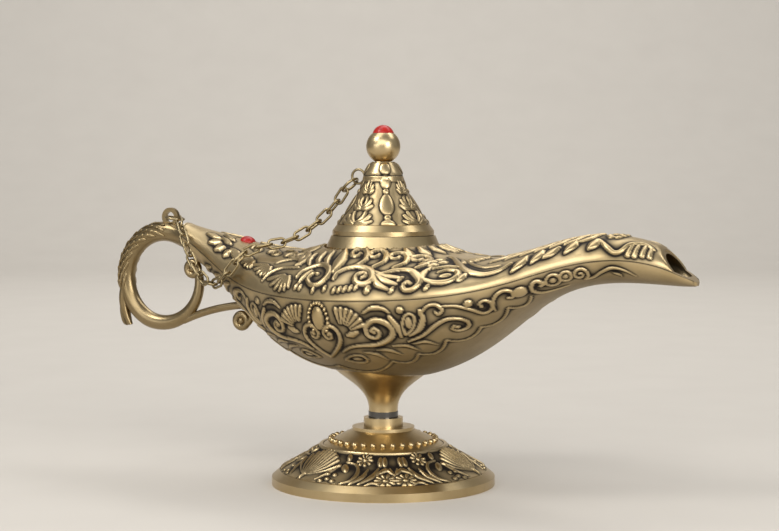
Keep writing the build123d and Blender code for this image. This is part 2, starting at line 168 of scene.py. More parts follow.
def brass(name, bright, dark, gloss, grain=0.1):
    """A brass that is bright on its crests and dark where the hollow attribute is high."""
    material, shader, start = finish_tree(name)
    hollow = start.node("ShaderNodeAttribute", {"attribute_name": "hollow"}, out=2)
    cloud = noise(start, 70.0, Detail=4.0, Roughness=0.6)
    speck = noise(start, 900.0, Detail=3.0, Roughness=0.55)
    # Tarnish from the hollow attribute and the noise; on the bowl and cover skins the attribute also
    # carries painted shade where they face down.
    tarnish_and_shade = (hollow * 1.05 + (cloud - 0.5) * 0.25 * (hollow + 0.25) + (speck - 0.5) * 0.06).held()
    patches = [value * share for value, share in zip(bright, RUBBED)] + [1.0]
    tint = mixed(cloud.between(0.35, 0.7), bright, patches)
    feed(shader, Base_Color=mixed(tarnish_and_shade, tint, dark), Metallic=(1.0 - tarnish_and_shade * 0.35),
         Roughness=(gloss + tarnish_and_shade * 0.35 + (speck - 0.5) * 0.06),
         Normal=start.node("ShaderNodeBump", Strength=grain, Distance=GRAIN_DEPTH, Height=speck))
    return material


BRASS = brass("antique_brass", [0.55, 0.422, 0.231, 1.0], [0.010, 0.006, 0.003, 1.0], 0.31)
WORN = brass("worn_brass", [0.295, 0.221, 0.118, 1.0], [0.012, 0.007, 0.003, 1.0], 0.31)
CHAIN = brass("chain_brass", [0.30, 0.235, 0.13, 1.0], [0.02, 0.014, 0.007, 1.0], 0.34)
print("brass finishes:", BRASS.name, WORN.name, CHAIN.name)

# %% [markdown]
# ## Stones, spacer and steel
# The two cabochons are opaque red with a clear polish. The spacer in the stem is dark and shiny, and
# the screw and washer under the foot are plain steel. Each gets a little variation, because a flat
# colour looks like paint.

# %% Make the other finishes
def stone_finish():
    material, shader, start = finish_tree("red_stone")
    cloud = noise(start, 420.0, Detail=3.0).between(0.3, 0.75)
    feed(shader, Base_Color=mixed(cloud, [0.36, 0.013, 0.008, 1.0], [0.25, 0.007, 0.005, 1.0]),
         Roughness=0.32, Specular_IOR_Level=0.25, Coat_Weight=0.12, Coat_Roughness=0.1)
    return material


def steel_finish(name, colour, gloss):
    material, shader, start = finish_tree(name)
    streak = noise(start, 600.0, Detail=4.0)
    dull = [value * 0.7 for value in colour[:3]] + [1.0]
    feed(shader, Base_Color=mixed(streak, colour, dull), Metallic=1.0, Roughness=(gloss + streak * 0.15))
    return material


STONE = stone_finish()
SPACER = steel_finish("dark_metal", [0.13, 0.124, 0.115, 1.0], 0.05)
STEEL = steel_finish("steel", [0.55, 0.55, 0.54, 1.0], 0.3)
print("other finishes:", STONE.name, SPACER.name, STEEL.name)

# %% Paint the CAD nodes
def paint(material, *nodes):
    """Gives CAD nodes a finish."""
    for node in nodes:
        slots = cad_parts[node].data.materials
        slots.clear()
        slots.append(material)


LINKS = sorted(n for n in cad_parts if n.startswith("chain_link"))
paint(BRASS, "foot", "lower_bowl", "upper_cover", "lid", "finial_ball")
paint(WORN, "handle")
paint(CHAIN, "lid_eye", "lid_ring", "lug_ring", *LINKS)
paint(STONE, "tail_stone", "finial_stone")
paint(SPACER, "stem_spacer")
paint(STEEL, "screw_washer", "foot_screw", "finial_stud")
print("painted", len(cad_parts), "CAD nodes,", len(LINKS), "of them links")

# %% [markdown]
# ## Light and floor
# Polished metal shows what is round it, so the light is a few large soft panels: a broad one in
# front, a low one for the bowl's scrolls, a small key high on the left, one overhead, a long one
# behind for the crests, one on the right, and one turned away to light the wall. The floor is pale
# and plain, and turns up behind the lamp, so no horizon line is seen.

# %% Hang the light panels
def panel(name, spot, aim, size, watts):
    """A soft rectangle of light, aimed at a spot."""
    light = bpy.data.lights.new(name, "AREA")
    light.shape, light.size, light.size_y, light.energy = "RECTANGLE", size[0], size[1], watts
    lamp = bpy.data.objects.new(name, light)
    lamp.location = spot
    lamp.rotation_euler = (Vector(aim) - Vector(spot)).to_track_quat("-Z", "Y").to_euler()
    bpy.context.scene.collection.objects.link(lamp)


panel("front", (0.25, -1.15, 0.75), (0, 0, 0.06), (1.3, 0.8), 9.0)
panel("key", (-0.45, -0.55, 0.85), (0, 0, 0.06), (0.35, 0.35), 4.0)
panel("crest", (0.15, 0.4, 0.75), (0, 0, 0.06), (0.9, 0.2), 2.2)
panel("low", (-0.35, -1.0, 0.22), (0, 0, 0.06), (0.6, 0.3), 1.4)
panel("wall", (-0.32, 0.62, 1.0), (-0.82, 1.6, 0.35), (1.2, 0.5), 10.0)
panel("top", (-0.22, 0.02, 0.95), (0.03, 0, 0.07), (1.0, 0.45), 3.0)
panel("side", (0.9, -0.55, 0.35), (0.03, 0, 0.06), (0.5, 0.6), 6.5)

world = bpy.data.worlds.new("studio")
bpy.context.scene.world = world
world.use_nodes = True
feed(world.node_tree.nodes["Background"], Color=(0.62, 0.63, 0.65, 1.0), Strength=0.5)
print("seven panels and a pale sky")

# %% Lay the floor
def sweep(reach=4.0, flat=1.1, bend=0.7, wall=2.2):
    """A floor that turns up behind the lamp in one smooth bend, square to the camera."""
    turns = np.linspace(0, math.pi / 2, 25)
    profile = [(-reach, 0.0)] + [(flat + bend * math.sin(t), bend - bend * math.cos(t)) for t in turns]
    profile.append((flat + bend, wall))
    ahead = Vector((-math.sin(math.radians(YAW)), math.cos(math.radians(YAW)), 0))
    aside = Vector((ahead.y, -ahead.x, 0))
    spots = [tuple(ahead * d + aside * s + Vector((0, 0, z)))
             for d, z in profile for s in (-reach, reach)]
    mesh = bpy.data.meshes.new("floor")
    quads = [(2 * k, 2 * k + 1, 2 * k + 3, 2 * k + 2) for k in range(len(profile) - 1)]
    mesh.from_pydata(spots, [], quads)
    mesh.polygons.foreach_set("use_smooth", [True] * len(mesh.polygons))
    return mesh


def floor_finish():
    material, shader, start = finish_tree("pale_floor")
    tone = mixed(noise(start, 30.0), [0.53, 0.493, 0.438, 1.0], [0.495, 0.458, 0.407, 1.0])
    feed(shader, Base_Color=tone, Roughness=0.7)
    return material


floor = bpy.data.objects.new("floor", sweep())
floor.data.materials.append(floor_finish())
bpy.context.scene.collection.objects.link(floor)
print("a floor that turns up at the back")

# %% [markdown]
# ## Measuring the body
# The relief follows the body, so the body is measured first. Rays cast at the CAD shells, place by
# place along X, give four lines: half width, keel, seam and ridge. Between them each cross section is
# two half ellipses, which gives a smooth surface without the facets of the CAD mesh.

# %% Rays and smoothing
def ray_tree(node):
    """The mesh of a CAD node, ready to cast rays at."""
    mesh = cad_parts[node].data
    return BVHTree.FromPolygons([v.co for v in mesh.vertices], [p.vertices for p in mesh.polygons])


def struck(tree, spot, way):
    """Where a ray first meets the mesh, in millimetres, or None."""
    hit = tree.ray_cast(Vector(spot) * MM, Vector(way))[0]
    return None if hit is None else np.array(hit) / MM


COVER, BOWL = ray_tree("upper_cover"), ray_tree("lower_bowl")
SPAN = np.linspace(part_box("lower_bowl")[0][0] / MM + 0.3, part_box("lower_bowl")[1][0] / MM - 0.4, 260)
NECK_REACH, STEM_REACH = 19.0, 17.0      # mm from the axis: inside them the neck and the stem begin
COVER_END, LIP_START = 95.0, 99.0        # X in mm: between them the seam is bridged
STONE_X = (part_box("tail_stone")[0][0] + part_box("tail_stone")[1][0]) / 2 / MM


def smoothed(values, keep=None):
    """Fills the places that keep leaves out, and takes the facets off a measured line."""
    good = np.isfinite(values) if keep is None else keep & np.isfinite(values)
    line = np.interp(SPAN, SPAN[good], values[good])
    for _ in range(3):
        line[2:-2] = (line[:-4] + 2 * line[1:-3] + 3 * line[2:-2] + 2 * line[3:-1] + line[4:]) / 9
    return line


def height(tree, x, y, way):
    """Where an upright ray meets the mesh: way is 1 from below and -1 from above."""
    hit = struck(tree, (x, y, 200.0 if way < 0 else -20.0), (0, 0, way))
    return np.nan if hit is None else hit[2]


def half_width(x):
    """How far the shells reach to the near side."""
    hits = [struck(tree, (x, -60.0, z), (0, 1, 0))
            for z in np.arange(30, 82, 0.8) for tree in (COVER, BOWL)]
    return max((-h[1] for h in hits if h is not None and h[1] < 0), default=np.nan)


print("rays ready for", len(SPAN), "places along the body")

# %% Measure the four lines of the body
WIDTH = smoothed(np.array([half_width(x) for x in SPAN]))
SEAM = np.array([height(COVER, x, 0.7 - w, 1) for x, w in zip(SPAN, WIDTH)])
LIP = np.array([height(BOWL, x, -0.6 * w, -1) for x, w in zip(SPAN, WIDTH)])
SEAM = smoothed(np.where(SPAN > COVER_END, np.where(SPAN > LIP_START, LIP, np.nan), SEAM))
KEEL = smoothed(np.array([height(BOWL, x, 0.0, 1) for x in SPAN]), np.abs(SPAN) > STEM_REACH)
MOUTH_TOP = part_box("upper_cover")[1][0] / MM - 6.0
RIDGE = smoothed(np.array([height(COVER, x, 0.0, -1) for x in SPAN]),
                 (np.abs(SPAN) > NECK_REACH) & (np.abs(SPAN - STONE_X) > 3.2) & (SPAN < MOUTH_TOP))
past = SPAN > MOUTH_TOP
RIDGE[past] = np.maximum(RIDGE[~past][-1] - 0.45 * (SPAN[past] - SPAN[~past][-1]), SEAM[past] + 0.8)
print("body measured at", len(SPAN), "places, widest", round(2 * WIDTH.max(), 1), "mm")

# %% [markdown]
# ## Drawing relief
# A relief is a height for every spot of an unrolled surface. It could be sculpted by hand, or displaced
# from a picture. Here it is drawn as with a ball-ended tool: a stroke is a row of round dabs, and where
# dabs meet the higher one wins. Drawing in plain millimetres keeps the scrolls crisp, every curl can be
# moved by its numbers, and one drawing serves both sides.

# %% Lines to draw with
def curve(points, step=0.2):
    """A smooth line through the points, in short even steps."""
    p = np.array(points, float)
    p = np.vstack([2 * p[0] - p[1], p, 2 * p[-1] - p[-2]])
    out = []
    for a, b, c, d in zip(p, p[1:], p[2:], p[3:]):
        n = max(int(np.linalg.norm(c - b) / step), 2)
        t = np.linspace(0, 1, n, endpoint=False)[:, None]
        out.append(0.5 * (2 * b + (c - a) * t + (2 * a - 5 * b + 4 * c - d) * t**2
                          + (3 * b - a - 3 * c + d) * t**3))
    return np.vstack(out + [p[-2:-1]])


def volute(centre, radius, turns, start, hand=1):
    """A spiral that winds in to its centre."""
    t = np.linspace(0, 1, int(26 * turns))
    angle = math.radians(start) + hand * 2 * math.pi * turns * t
    r = radius * (1 - 0.86 * t)
    return np.stack([centre[0] + r * np.cos(angle), centre[1] + r * np.sin(angle)], 1)


def blurred(field, cells):
    """The field averaged twice over a square of cells."""
    n = 2 * cells + 1
    for axis in (0, 1):
        for _ in range(2):
            pad = [(cells + 1, cells) if a == axis else (0, 0) for a in (0, 1)]
            total = np.cumsum(np.pad(field, pad, mode="edge"), axis=axis)
            field = (np.take(total, range(n, total.shape[axis]), axis)
                     - np.take(total, range(0, total.shape[axis] - n), axis)) / n
    return field


print("a bend through three points has", len(curve([(0, 0), (1, 1), (2, 0)])), "steps")

# %% A sheet to draw relief on
class Relief:
    """A sheet of heights in millimetres, drawn on with strokes, ovals, bands and fans."""

    def __init__(self, low, high, step=0.14):
        self.low, self.step = np.array(low, float), step
        shape = np.ceil((np.array(high) - low) / step).astype(int) + 1
        self.height = np.zeros(shape)

    def stroke(self, points, width, rise=0.5):
        """A line through the points. Width is one number, or several spread along it."""
        line = curve(points)
        along = np.linspace(0, 1, len(line))
        widths = np.interp(along, np.linspace(0, 1, len(np.atleast_1d(width))), np.atleast_1d(width))
        for (x, y), w in zip(line, widths):
            self.oval(x, y, w / 2, w / 2, rise * min(1.0, 0.45 + w / 2))

    def oval(self, x, y, rx, ry, rise, turn=0.0):
        """A domed oval."""
        c, s = math.cos(turn), math.sin(turn)
        reach = max(rx, ry) / self.step
        col, row = (np.array([x, y]) - self.low) / self.step
        i0, i1 = max(int(col - reach), 0), min(int(col + reach) + 2, self.height.shape[0])
        j0, j1 = max(int(row - reach), 0), min(int(row + reach) + 2, self.height.shape[1])
        if i0 >= i1 or j0 >= j1:
            return
        i, j = np.ogrid[i0:i1, j0:j1]
        dx, dy = (i - col) * self.step, (j - row) * self.step
        part = 1 - ((dx * c + dy * s) / rx) ** 2 - ((dy * c - dx * s) / ry) ** 2
        bump = rise * np.sqrt(np.clip(part, 0, 1))
        self.height[i0:i1, j0:j1] = np.maximum(self.height[i0:i1, j0:j1], bump)

    def band(self, low, high, rise):
        """A raised band right across the sheet, from one height to another."""
        rows = self.low[1] + self.step * np.arange(self.height.shape[1])
        self.height[:, (rows > low) & (rows < high)] = rise

    def fan(self, base, first, last, lobes, length, width=1.5, rise=0.5, start=0.28):
        """Lobes that spread from a base. Angles are in degrees from the sheet's +x."""
        for turn in np.radians(np.linspace(first, last, lobes)):
            way = np.array([math.cos(turn), math.sin(turn)])
            self.stroke([base + way * length * start, base + way * length], (width * 0.45, width), rise)

    def hollow(self, reach=1.1, spread=1.2):
        """How deep each spot lies under what stands round it, from 0 to 1."""
        near = blurred(self.height, max(int(0.45 * reach / self.step), 1))
        wide = blurred(self.height, max(int(1.3 * reach / self.step), 1))
        crevice = 6.0 * (near - self.height) + 3.2 * (wide - self.height)
        drawn = (self.height > 0.05).astype(float)
        among = np.clip(3.0 * blurred(drawn, int(spread / self.step)) - 0.3, 0, 1)
        ground = 0.85 * among * (1 - np.clip(self.height / 0.3, 0, 1))
        return 1 - (1 - np.clip(np.maximum(crevice, ground), 0, 1)) ** 2.2

    def sample(self, field, x, y):
        """A field's value at any spots, read smoothly between its cells."""
        i = np.clip((x - self.low[0]) / self.step, 0, field.shape[0] - 1.001)
        j = np.clip((y - self.low[1]) / self.step, 0, field.shape[1] - 1.001)
        a, b = i.astype(int), j.astype(int)
        u, v = i - a, j - b
        return ((1 - u) * (1 - v) * field[a, b] + u * (1 - v) * field[a + 1, b]
                + (1 - u) * v * field[a, b + 1] + u * v * field[a + 1, b + 1])


print("relief sheet ready")

# %% [markdown]
# ## The bowl's ornament
# Under the seam sits a beaded oval with a shell on either side, a heart of two volutes below, and
# scrolls that run out along the tail and the spout, closed by a scalloped border. Distances along
# the body are counted from the oval's axis, distances down from the seam, so the tail side is the
# mirror of the spout side. Each scroll is one stroke through a few points, because a smooth line
# through points bends as a chased line does.

# %% Draw half of the bowl's relief
OVAL_X = -4.5
bowl_relief = Relief((-74.0, -1.0), (102.5, 52.0))


def scallop(begin, end):
    """An arc that hangs between two points of the border."""
    begin, way = np.array(begin), np.subtract(end, begin)
    sag = np.array([0.4, max(3.2, 0.25 * np.linalg.norm(way))])
    return [begin + way * t + sag * 4 * t * (1 - t) for t in np.linspace(0, 1, 9)]


def bowl_scrolls(side):
    """One half of the bowl's ornament: side is +1 towards the spout and -1 towards the tail."""
    def at(points):
        return [(OVAL_X + side * a, s) for a, s in points]

    def line(points, width, rise=0.55):
        bowl_relief.stroke(at(points), width, rise)

    def boss(a, s, rx, ry=None, rise=0.6):
        bowl_relief.oval(OVAL_X + side * a, s, rx, ry or rx, rise)

    shell = np.array(at([(8.0, 9.4)])[0])
    turns = (-102, -20) if side > 0 else (-78, -160)
    bowl_relief.fan(shell, *turns, 7, 7.3, 1.4, 0.65, 0.4)
    line([(8.9, 10.4), (10.4, 10.2), (12.4, 9.3)], (0.8, 2.2, 1.2))
    line([(0, 19.8), (3.2, 16.6), (5.7, 13.3), (6.4, 10.6), (5.4, 8.3), (3.4, 7.5), (1.6, 8.4),
          (1.0, 10.2), (1.9, 11.8), (3.4, 11.5), (3.6, 10.2), (2.8, 9.8)], (1.0, 1.3, 1.1, 0.8))
    boss(2.6, 10.4, 0.6)
    line([(5.4, 17.0), (8.5, 15.0), (12.0, 14.2), (17.9, 13.8), (22.0, 11.7), (23.1, 8.6), (20.9, 6.2),
          (17.8, 5.7), (15.4, 7.8), (15.6, 10.6), (18.0, 11.4), (19.2, 9.6), (17.9, 8.1), (16.7, 9.0)],
         (0.7, 1.2, 1.7, 1.8, 1.2, 0.9), 0.65)
    boss(17.6, 9.4, 0.7)
    line([(15.2, 3.3), (17.2, 2.1), (19.1, 1.8), (21.2, 2.2), (22.9, 3.4)], (0.7, 1.4, 0.7))
    boss(26.0, 2.8, 1.05)
    line([(25.1, 11.6), (24.7, 8.2), (22.9, 4.7)], (0.7, 1.9, 1.3))
    line([(26.4, 10.9), (26.2, 7.5), (27.1, 4.9), (28.6, 4.1), (29.8, 5.2), (29.4, 7.7), (28.0, 9.8),
          (26.4, 10.9)], 0.75)
    boss(28.0, 6.9, 0.9, 2.0, 0.5)
    line([(27.4, 11.4), (30.4, 9.4), (32.0, 6.2), (31.6, 3.4)], (0.7, 1.8, 1.2))
    line([(26.6, 13.5), (31.0, 11.7), (35.0, 8.6), (38.2, 7.1), (41.4, 7.6), (43.2, 9.6), (42.4, 11.8),
          (40.2, 12.2), (38.9, 10.9), (39.6, 9.7)], (0.7, 1.3, 1.1, 0.8))
    boss(40.3, 10.5, 0.6)
    line([(32.0, 3.8), (33.8, 2.2), (36.0, 2.1), (37.5, 3.8), (36.4, 5.1), (35.6, 4.2)], (0.7, 1.1, 0.7))
    line([(4.6, 20.8), (7.5, 18.8), (10.6, 18.4), (12.0, 20.3), (10.7, 22.1), (7.6, 22.0), (4.6, 20.8)],
         0.8)
    boss(9.0, 20.3, 1.7, 0.7, 0.4)
    for points in ([(12.4, 17.0), (16.0, 18.0), (18.3, 21.0)], [(16.6, 16.2), (20.4, 16.6), (23.4, 19.4)],
                   [(21.8, 14.9), (25.6, 15.2), (28.4, 18.0)], [(27.6, 14.6), (31.0, 14.4), (33.6, 16.6)]):
        line(points, (0.6, 1.3, 0.5), 0.45)
    cusps = [(0.3, 25.4), (19.4, 22.0), (27.4, 19.6), (36.1, 15.2), (45.2, 13.6), (53.2, 8.7), (59.4, 7.2)]
    count = 6 if side > 0 else 4
    for begin, end in list(zip(cusps, cusps[1:]))[:count]:
        line(scallop(begin, end), (0.75, 0.9, 0.75), 0.5)
    line([(-1.4, 27.6), (-0.4, 26.2), (0.3, 25.4)], 0.8)


print("bowl sheet:", bowl_relief.height.shape, "cells")

# %% Draw the oval, its beads and both halves
bowl_relief.oval(OVAL_X, 5.3, 2.1, 3.7, 0.85)
bead_turns = np.radians(np.linspace(-136, 136, 17))
OVAL_BEADS = [(OVAL_X + 3.4 * math.sin(t), 5.4 - 4.9 * math.cos(t)) for t in bead_turns]
for x, s in OVAL_BEADS:
    bowl_relief.oval(x, s, 0.5, 0.5, 0.5)
for side in (1, -1):
    bowl_scrolls(side)
print("bowl scrolls drawn, highest", round(bowl_relief.height.max(), 2), "mm")

# %% [markdown]
# ## The spout's and the tail's ornament
# Along the spout the border breaks up into hooks, bosses and rings that grow smaller towards the
# mouth and end in one wave. The tail side carries four curved leaves.

# %% Draw the spout's and tail's relief
def spout_line(points, width, rise=0.5):
    """A stroke on the spout side, with distances from the oval's axis."""
    bowl_relief.stroke([(OVAL_X + a, s) for a, s in points], width, rise)


spout_line([(38.0, 2.7), (41.5, 3.4), (45.0, 5.4), (47.6, 7.7), (49.6, 6.8), (49.9, 4.6), (48.6, 3.3),
            (47.2, 3.8), (47.5, 5.1)], (0.7, 1.0, 0.8))
spout_line([(50.2, 8.0), (50.4, 4.7), (51.6, 2.5), (53.8, 1.8), (55.6, 3.1), (55.3, 4.9), (54.2, 4.5)],
           (0.7, 1.1, 0.8))
spout_line([(63.8, 3.6), (62.2, 1.9), (60.7, 2.6), (60.5, 5.0), (62.2, 7.2), (65.6, 8.0), (69.6, 7.4)],
           (1.1, 1.1, 0.5))
spout_line(volute((73.7, 3.3), 2.4, 1.5, 60, -1), (1.0, 0.7))
spout_line([(74.6, 5.6), (77.0, 5.2), (79.7, 3.4), (83.0, 2.1), (86.5, 2.8), (89.6, 4.6)], (0.8, 1.0, 0.5))
spout_line([(83.2, 3.8), (85.0, 4.5), (85.3, 5.4)], (0.5, 0.9, 0.4))
for a, s, r in ((44.4, 3.1, 1.15), (57.4, 3.9, 1.95), (62.9, 3.9, 0.6)):
    bowl_relief.oval(OVAL_X + a, s, r, r, 0.6)
for a, s, r in ((66.2, 3.3, 1.9), (69.8, 3.0, 1.55)):
    ring = [(a + r * math.cos(t), s + 1.05 * r * math.sin(t)) for t in np.linspace(0, 2 * math.pi, 13)]
    spout_line(ring, 0.85)
    bowl_relief.oval(OVAL_X + a, s, 0.5 * r, 0.5 * r, 0.45)
for a in (36.0, 41.5, 47.0, 52.0):
    bowl_relief.stroke([(OVAL_X - a, 1.8), (OVAL_X - a - 2.6, 3.6), (OVAL_X - a - 3.6, 7.0)],
                       (0.8, 1.9, 0.7), 0.5)
print("spout and tail drawn")

# %% [markdown]
# ## The cover's ornament
# Above its plain border the cover carries larger, fuller scrolls: rolling volutes low down, a row of
# curls under the neck with one tall leaf, a rosette where the spout begins, and leaves that lie round
# the neck and along the top of the spout and the tail. Heights are counted up from the seam.

# %% Draw the cover's volutes
cover_relief = Relief((-74.0, -1.0), (98.0, 44.0))


def cover_line(points, width, rise=0.6):
    cover_relief.stroke(points, width, rise)


cover_line([(-0.4, 7.1), (-0.1, 9.6), (2.6, 12.1), (6.1, 12.7), (9.8, 11.1), (11.8, 8.0), (11.2, 5.9),
            (9.2, 5.3), (6.9, 6.5), (6.6, 8.9), (8.3, 9.8), (9.5, 8.5), (8.6, 7.6)],
           (1.2, 2.0, 2.3, 1.6, 1.1), 0.75)
cover_line([(11.8, 10.2), (14.0, 9.4), (17.4, 11.2), (21.2, 11.3), (24.6, 8.0), (26.1, 5.1), (24.9, 3.0),
            (22.8, 2.8), (21.8, 4.2), (22.5, 5.6), (23.6, 5.0)], (1.0, 1.8, 2.2, 1.6, 1.0), 0.75)
cover_line([(26.6, 6.4), (30.6, 4.6), (34.3, 4.7), (35.6, 7.0), (34.4, 9.6), (31.6, 10.6), (29.6, 9.6)],
           (1.0, 2.0, 1.6, 0.9), 0.7)
cover_relief.oval(32.2, 7.5, 1.7, 1.0, 0.6)
cover_line([(-14.5, 7.0), (-13.0, 10.6), (-8.3, 13.7), (-4.4, 12.0), (-3.0, 8.6), (-4.4, 5.4),
            (-7.4, 4.6), (-9.6, 6.4), (-8.9, 8.9), (-6.8, 9.0)], (1.0, 1.8, 2.2, 1.6, 1.1), 0.75)
cover_line([(-1.6, 9.6), (-1.9, 13.0), (-2.4, 17.5), (-3.2, 21.8)], (0.8, 3.4, 4.4, 3.2, 0.7), 0.8)
print("volutes drawn, highest", round(cover_relief.height.max(), 2), "mm")

# %% Draw the cover's curls, drops and rosette
for x in (0.6, 6.6, 12.8, -21.6, 19.2):
    cover_line([(x + 3.4, 12.9), (x + 5.2, 16.0), (x + 4.4, 20.0), (x + 2.0, 22.4), (x - 0.4, 21.0),
                (x - 0.2, 18.8), (x + 1.6, 18.2), (x + 2.2, 19.8)], (1.6, 1.9, 1.6, 1.1), 0.7)
for x in (-16.6, -12.8, -9.0, -5.6):
    cover_line([(x, 13.4), (x - 2.0, 17.0), (x - 1.6, 21.0)], (0.8, 2.3, 0.9), 0.65)
for points in ([(12.2, 8.4), (14.2, 5.2), (17.7, 3.3)], [(12.6, 8.8), (15.6, 6.6), (19.6, 5.0)],
               [(13.0, 9.0), (15.6, 8.2), (19.6, 7.6)], [(26.6, 6.4), (25.6, 9.4), (26.6, 12.8)],
               [(-12.6, 5.0), (-11.6, 8.0), (-9.9, 10.4)], [(27.4, 12.0), (30.4, 13.2), (33.6, 12.6)]):
    cover_line(points, (0.9, 2.1, 0.9), 0.65)
drops = [(1.0 + 1.75 * k, 3.2 + 0.25 * k) for k in range(5)]
drops += [(18.9, 3.1), (20.2, 7.0), (28.6, 3.2), (-13.4, 3.6), (-11.6, 3.5), (-6.4, 3.0), (-2.4, 3.6)]
for x, s in drops:
    cover_relief.oval(x, s, 0.65, 1.3, 0.6, -0.35)
for x, s, rx, ry in ((11.6, 3.4, 1.0, 1.5), (37.3, 5.6, 1.2, 2.0)):
    cover_relief.oval(x, s, rx, ry, 0.65, -0.2)
ROSETTE = (25.4, 17.4)
for turn in np.arange(5) * 2 * math.pi / 5:
    petal = (ROSETTE[0] + 2.5 * math.cos(turn), ROSETTE[1] + 2.5 * math.sin(turn))
    cover_relief.oval(*petal, 1.6, 1.6, 0.65)
cover_relief.oval(*ROSETTE, 1.2, 1.2, 0.8)
print("cover scrolls drawn, highest", round(cover_relief.height.max(), 2), "mm")

# %% Draw the leaves along the spout's top
def from_above(x, y):
    """A spot seen from above, as X and the distance up from the seam along the surface."""
    w, h = np.interp(x, SPAN, WIDTH), np.interp(x, SPAN, RIDGE) - np.interp(x, SPAN, SEAM)
    t = np.linspace(0, math.acos(min(abs(y) / w, 1.0)), 60)
    return x, float(np.hypot(np.diff(w * np.cos(t)), np.diff(h * np.sin(t))).sum())


def along_ridge(spots):
    """Spots given as X and a share of the way from the seam to the ridge."""
    return [(x, share * from_above(x, 0.0)[1]) for x, share in spots]


def leaf(spots, wide=2.9, rise=0.65):
    """A leaf that is narrow at both ends."""
    cover_line(spots, (0.9, wide, 0.9), rise)


cover_line([(27.0, 24.5), (29.3, 22.0), (35.8, 10.9), (41.7, 5.5), (46.7, 4.6), (49.4, 6.6)],
           (1.0, 1.7, 1.9, 1.2), 0.65)
cover_line([(33.0, 20.0), (38.0, 13.0), (42.4, 8.8), (46.4, 7.6)], (0.7, 1.0, 0.7), 0.5)
cover_relief.fan(np.array([31.0, 22.5]), -65, 5, 6, 7.0, 1.5, 0.65, 0.35)
for root, middle, tip in (((53.6, 7.6), (52.4, 4.9), (50.9, 2.8)), ((57.6, 8.2), (57.0, 5.9), (55.8, 3.7)),
                          ((62.5, 6.9), (60.8, 5.6), (58.9, 4.3)), ((66.9, 8.4), (66.3, 6.2), (64.9, 3.8)),
                          ((72.9, 7.4), (72.6, 5.5), (71.5, 3.7))):
    leaf([root, middle, tip], 3.6, 0.75)
for x in np.arange(42.0, 70.0, 4.3):
    leaf(along_ridge([(x, 0.48), (x + 2.2, 0.58), (x + 4.4, 0.76)]))
    leaf(along_ridge([(x + 1.6, 0.80), (x + 3.6, 0.90), (x + 5.6, 0.98)]), 2.5)
cover_line([(73.2, 7.7), (76.7, 3.9), (79.1, 2.2), (80.9, 2.9), (82.9, 5.7), (86.6, 6.9), (89.6, 5.6)],
           (0.9, 1.5, 1.3, 1.5, 1.0))
for top, low in (((83.6, 5.4), (82.9, 1.6)), ((85.3, 6.0), (84.8, 1.6)), ((87.2, 6.2), (87.0, 2.1)),
                 ((89.0, 5.4), (89.1, 2.2))):
    cover_line([top, low], (0.9, 1.4), 0.55)
for turn in np.arange(6) * math.pi / 3:
    x, s = along_ridge([(77.4, 0.80)])[0]
    cover_relief.oval(x + 1.9 * math.cos(turn), s + 1.9 * math.sin(turn), 1.05, 1.05, 0.6)
print("spout leaves drawn")

# %% Draw the leaves on the tail and round the neck
TAIL_FANS = ((-18.0, 8.6, 205, 288, 9.2), (-28.2, 11.4, 200, 278, 8.4), (-37.0, 11.6, 195, 272, 7.6),
             (-44.0, 10.6, 195, 265, 5.6))
for x, s, first, last, longest in TAIL_FANS:
    for turn in np.linspace(0, 1, 6):
        angle, length = math.radians(first + (last - first) * turn), longest * (1 - 0.38 * turn)
        way = np.array([math.cos(angle), math.sin(angle)])
        leaf([np.array([x, s]) + way * length * r for r in (0.25, 0.7, 1.0)], 1.7)
for root, tip in (((-56.0, 9.6), (-61.6, 7.4)), ((-54.6, 8.4), (-59.0, 5.0)), ((-52.0, 8.0), (-55.4, 4.4)),
                  ((-48.6, 8.6), (-50.6, 4.9)), ((-51.2, 13.6), (-56.4, 13.0)),
                  ((-50.7, 11.0), (-55.6, 10.6))):
    leaf([root, (0.5 * root[0] + 0.5 * tip[0], 0.6 * root[1] + 0.4 * tip[1]), tip], 2.7, 0.75)
for turn in np.radians((4, 17, 30, 43, 150, 163, 176)):
    leaf([from_above(r * math.cos(turn), r * math.sin(turn)) for r in (19.4, 22.2, 25.4)], 3.0, 0.7)
cover_line([(-27.6, 12.6), (-24.5, 15.8), (-20.5, 17.2), (-16.5, 15.9)], (0.8, 1.6, 1.6, 0.9), 0.65)
cover_line([(-28.9, 3.7), (-26.4, 8.0), (-22.7, 11.0), (-16.2, 11.8)], (0.8, 1.5, 0.9), 0.6)
for x, share, radius in ((-24.5, 0.60, 3.0), (-33.0, 0.66, 2.8), (-41.0, 0.70, 2.4)):
    cover_line(volute(along_ridge([(x, share)])[0], radius, 1.5, 200, -1), (1.5, 1.2, 0.9), 0.65)
    leaf(along_ridge([(x - 1.0, share + 0.12), (x - 3.6, share + 0.22), (x - 6.4, share + 0.20)]), 2.0)
print("tail leaves drawn:", len(TAIL_FANS), "fans")

# %% [markdown]
# ## Skins over the castings
# The relief goes on as a thin closed skin over each CAD shell: its outer side is the measured surface
# raised by the drawing, its back lies inside the metal. The CAD shell stays below, so the wall, the
# mouth and the neck are still the real ones. Left and right halves are separate pieces, which keeps
# each one light enough.

# %% Make a mesh a piece that rides
def piece(name, spots, faces, material, body, hollow=None, smooth=True):
    """A mesh in millimetres as a piece of the lamp, with its hollows and any painted shade, if they are
    known.
    """
    mesh = bpy.data.meshes.new(name)
    mesh.from_pydata((np.asarray(spots) * MM).tolist(), [], [list(face) for face in faces])
    mesh.polygons.foreach_set("use_smooth", np.broadcast_to(smooth, len(mesh.polygons)).astype(bool))
    if hollow is not None:
        shade = mesh.attributes.new("hollow", "FLOAT", "POINT")
        shade.data.foreach_set("value", np.asarray(hollow, np.float32))
    mesh.materials.append(material)
    made = bpy.data.objects.new(name, mesh)
    bpy.context.scene.collection.objects.link(made)
    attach(made, body)
    return made


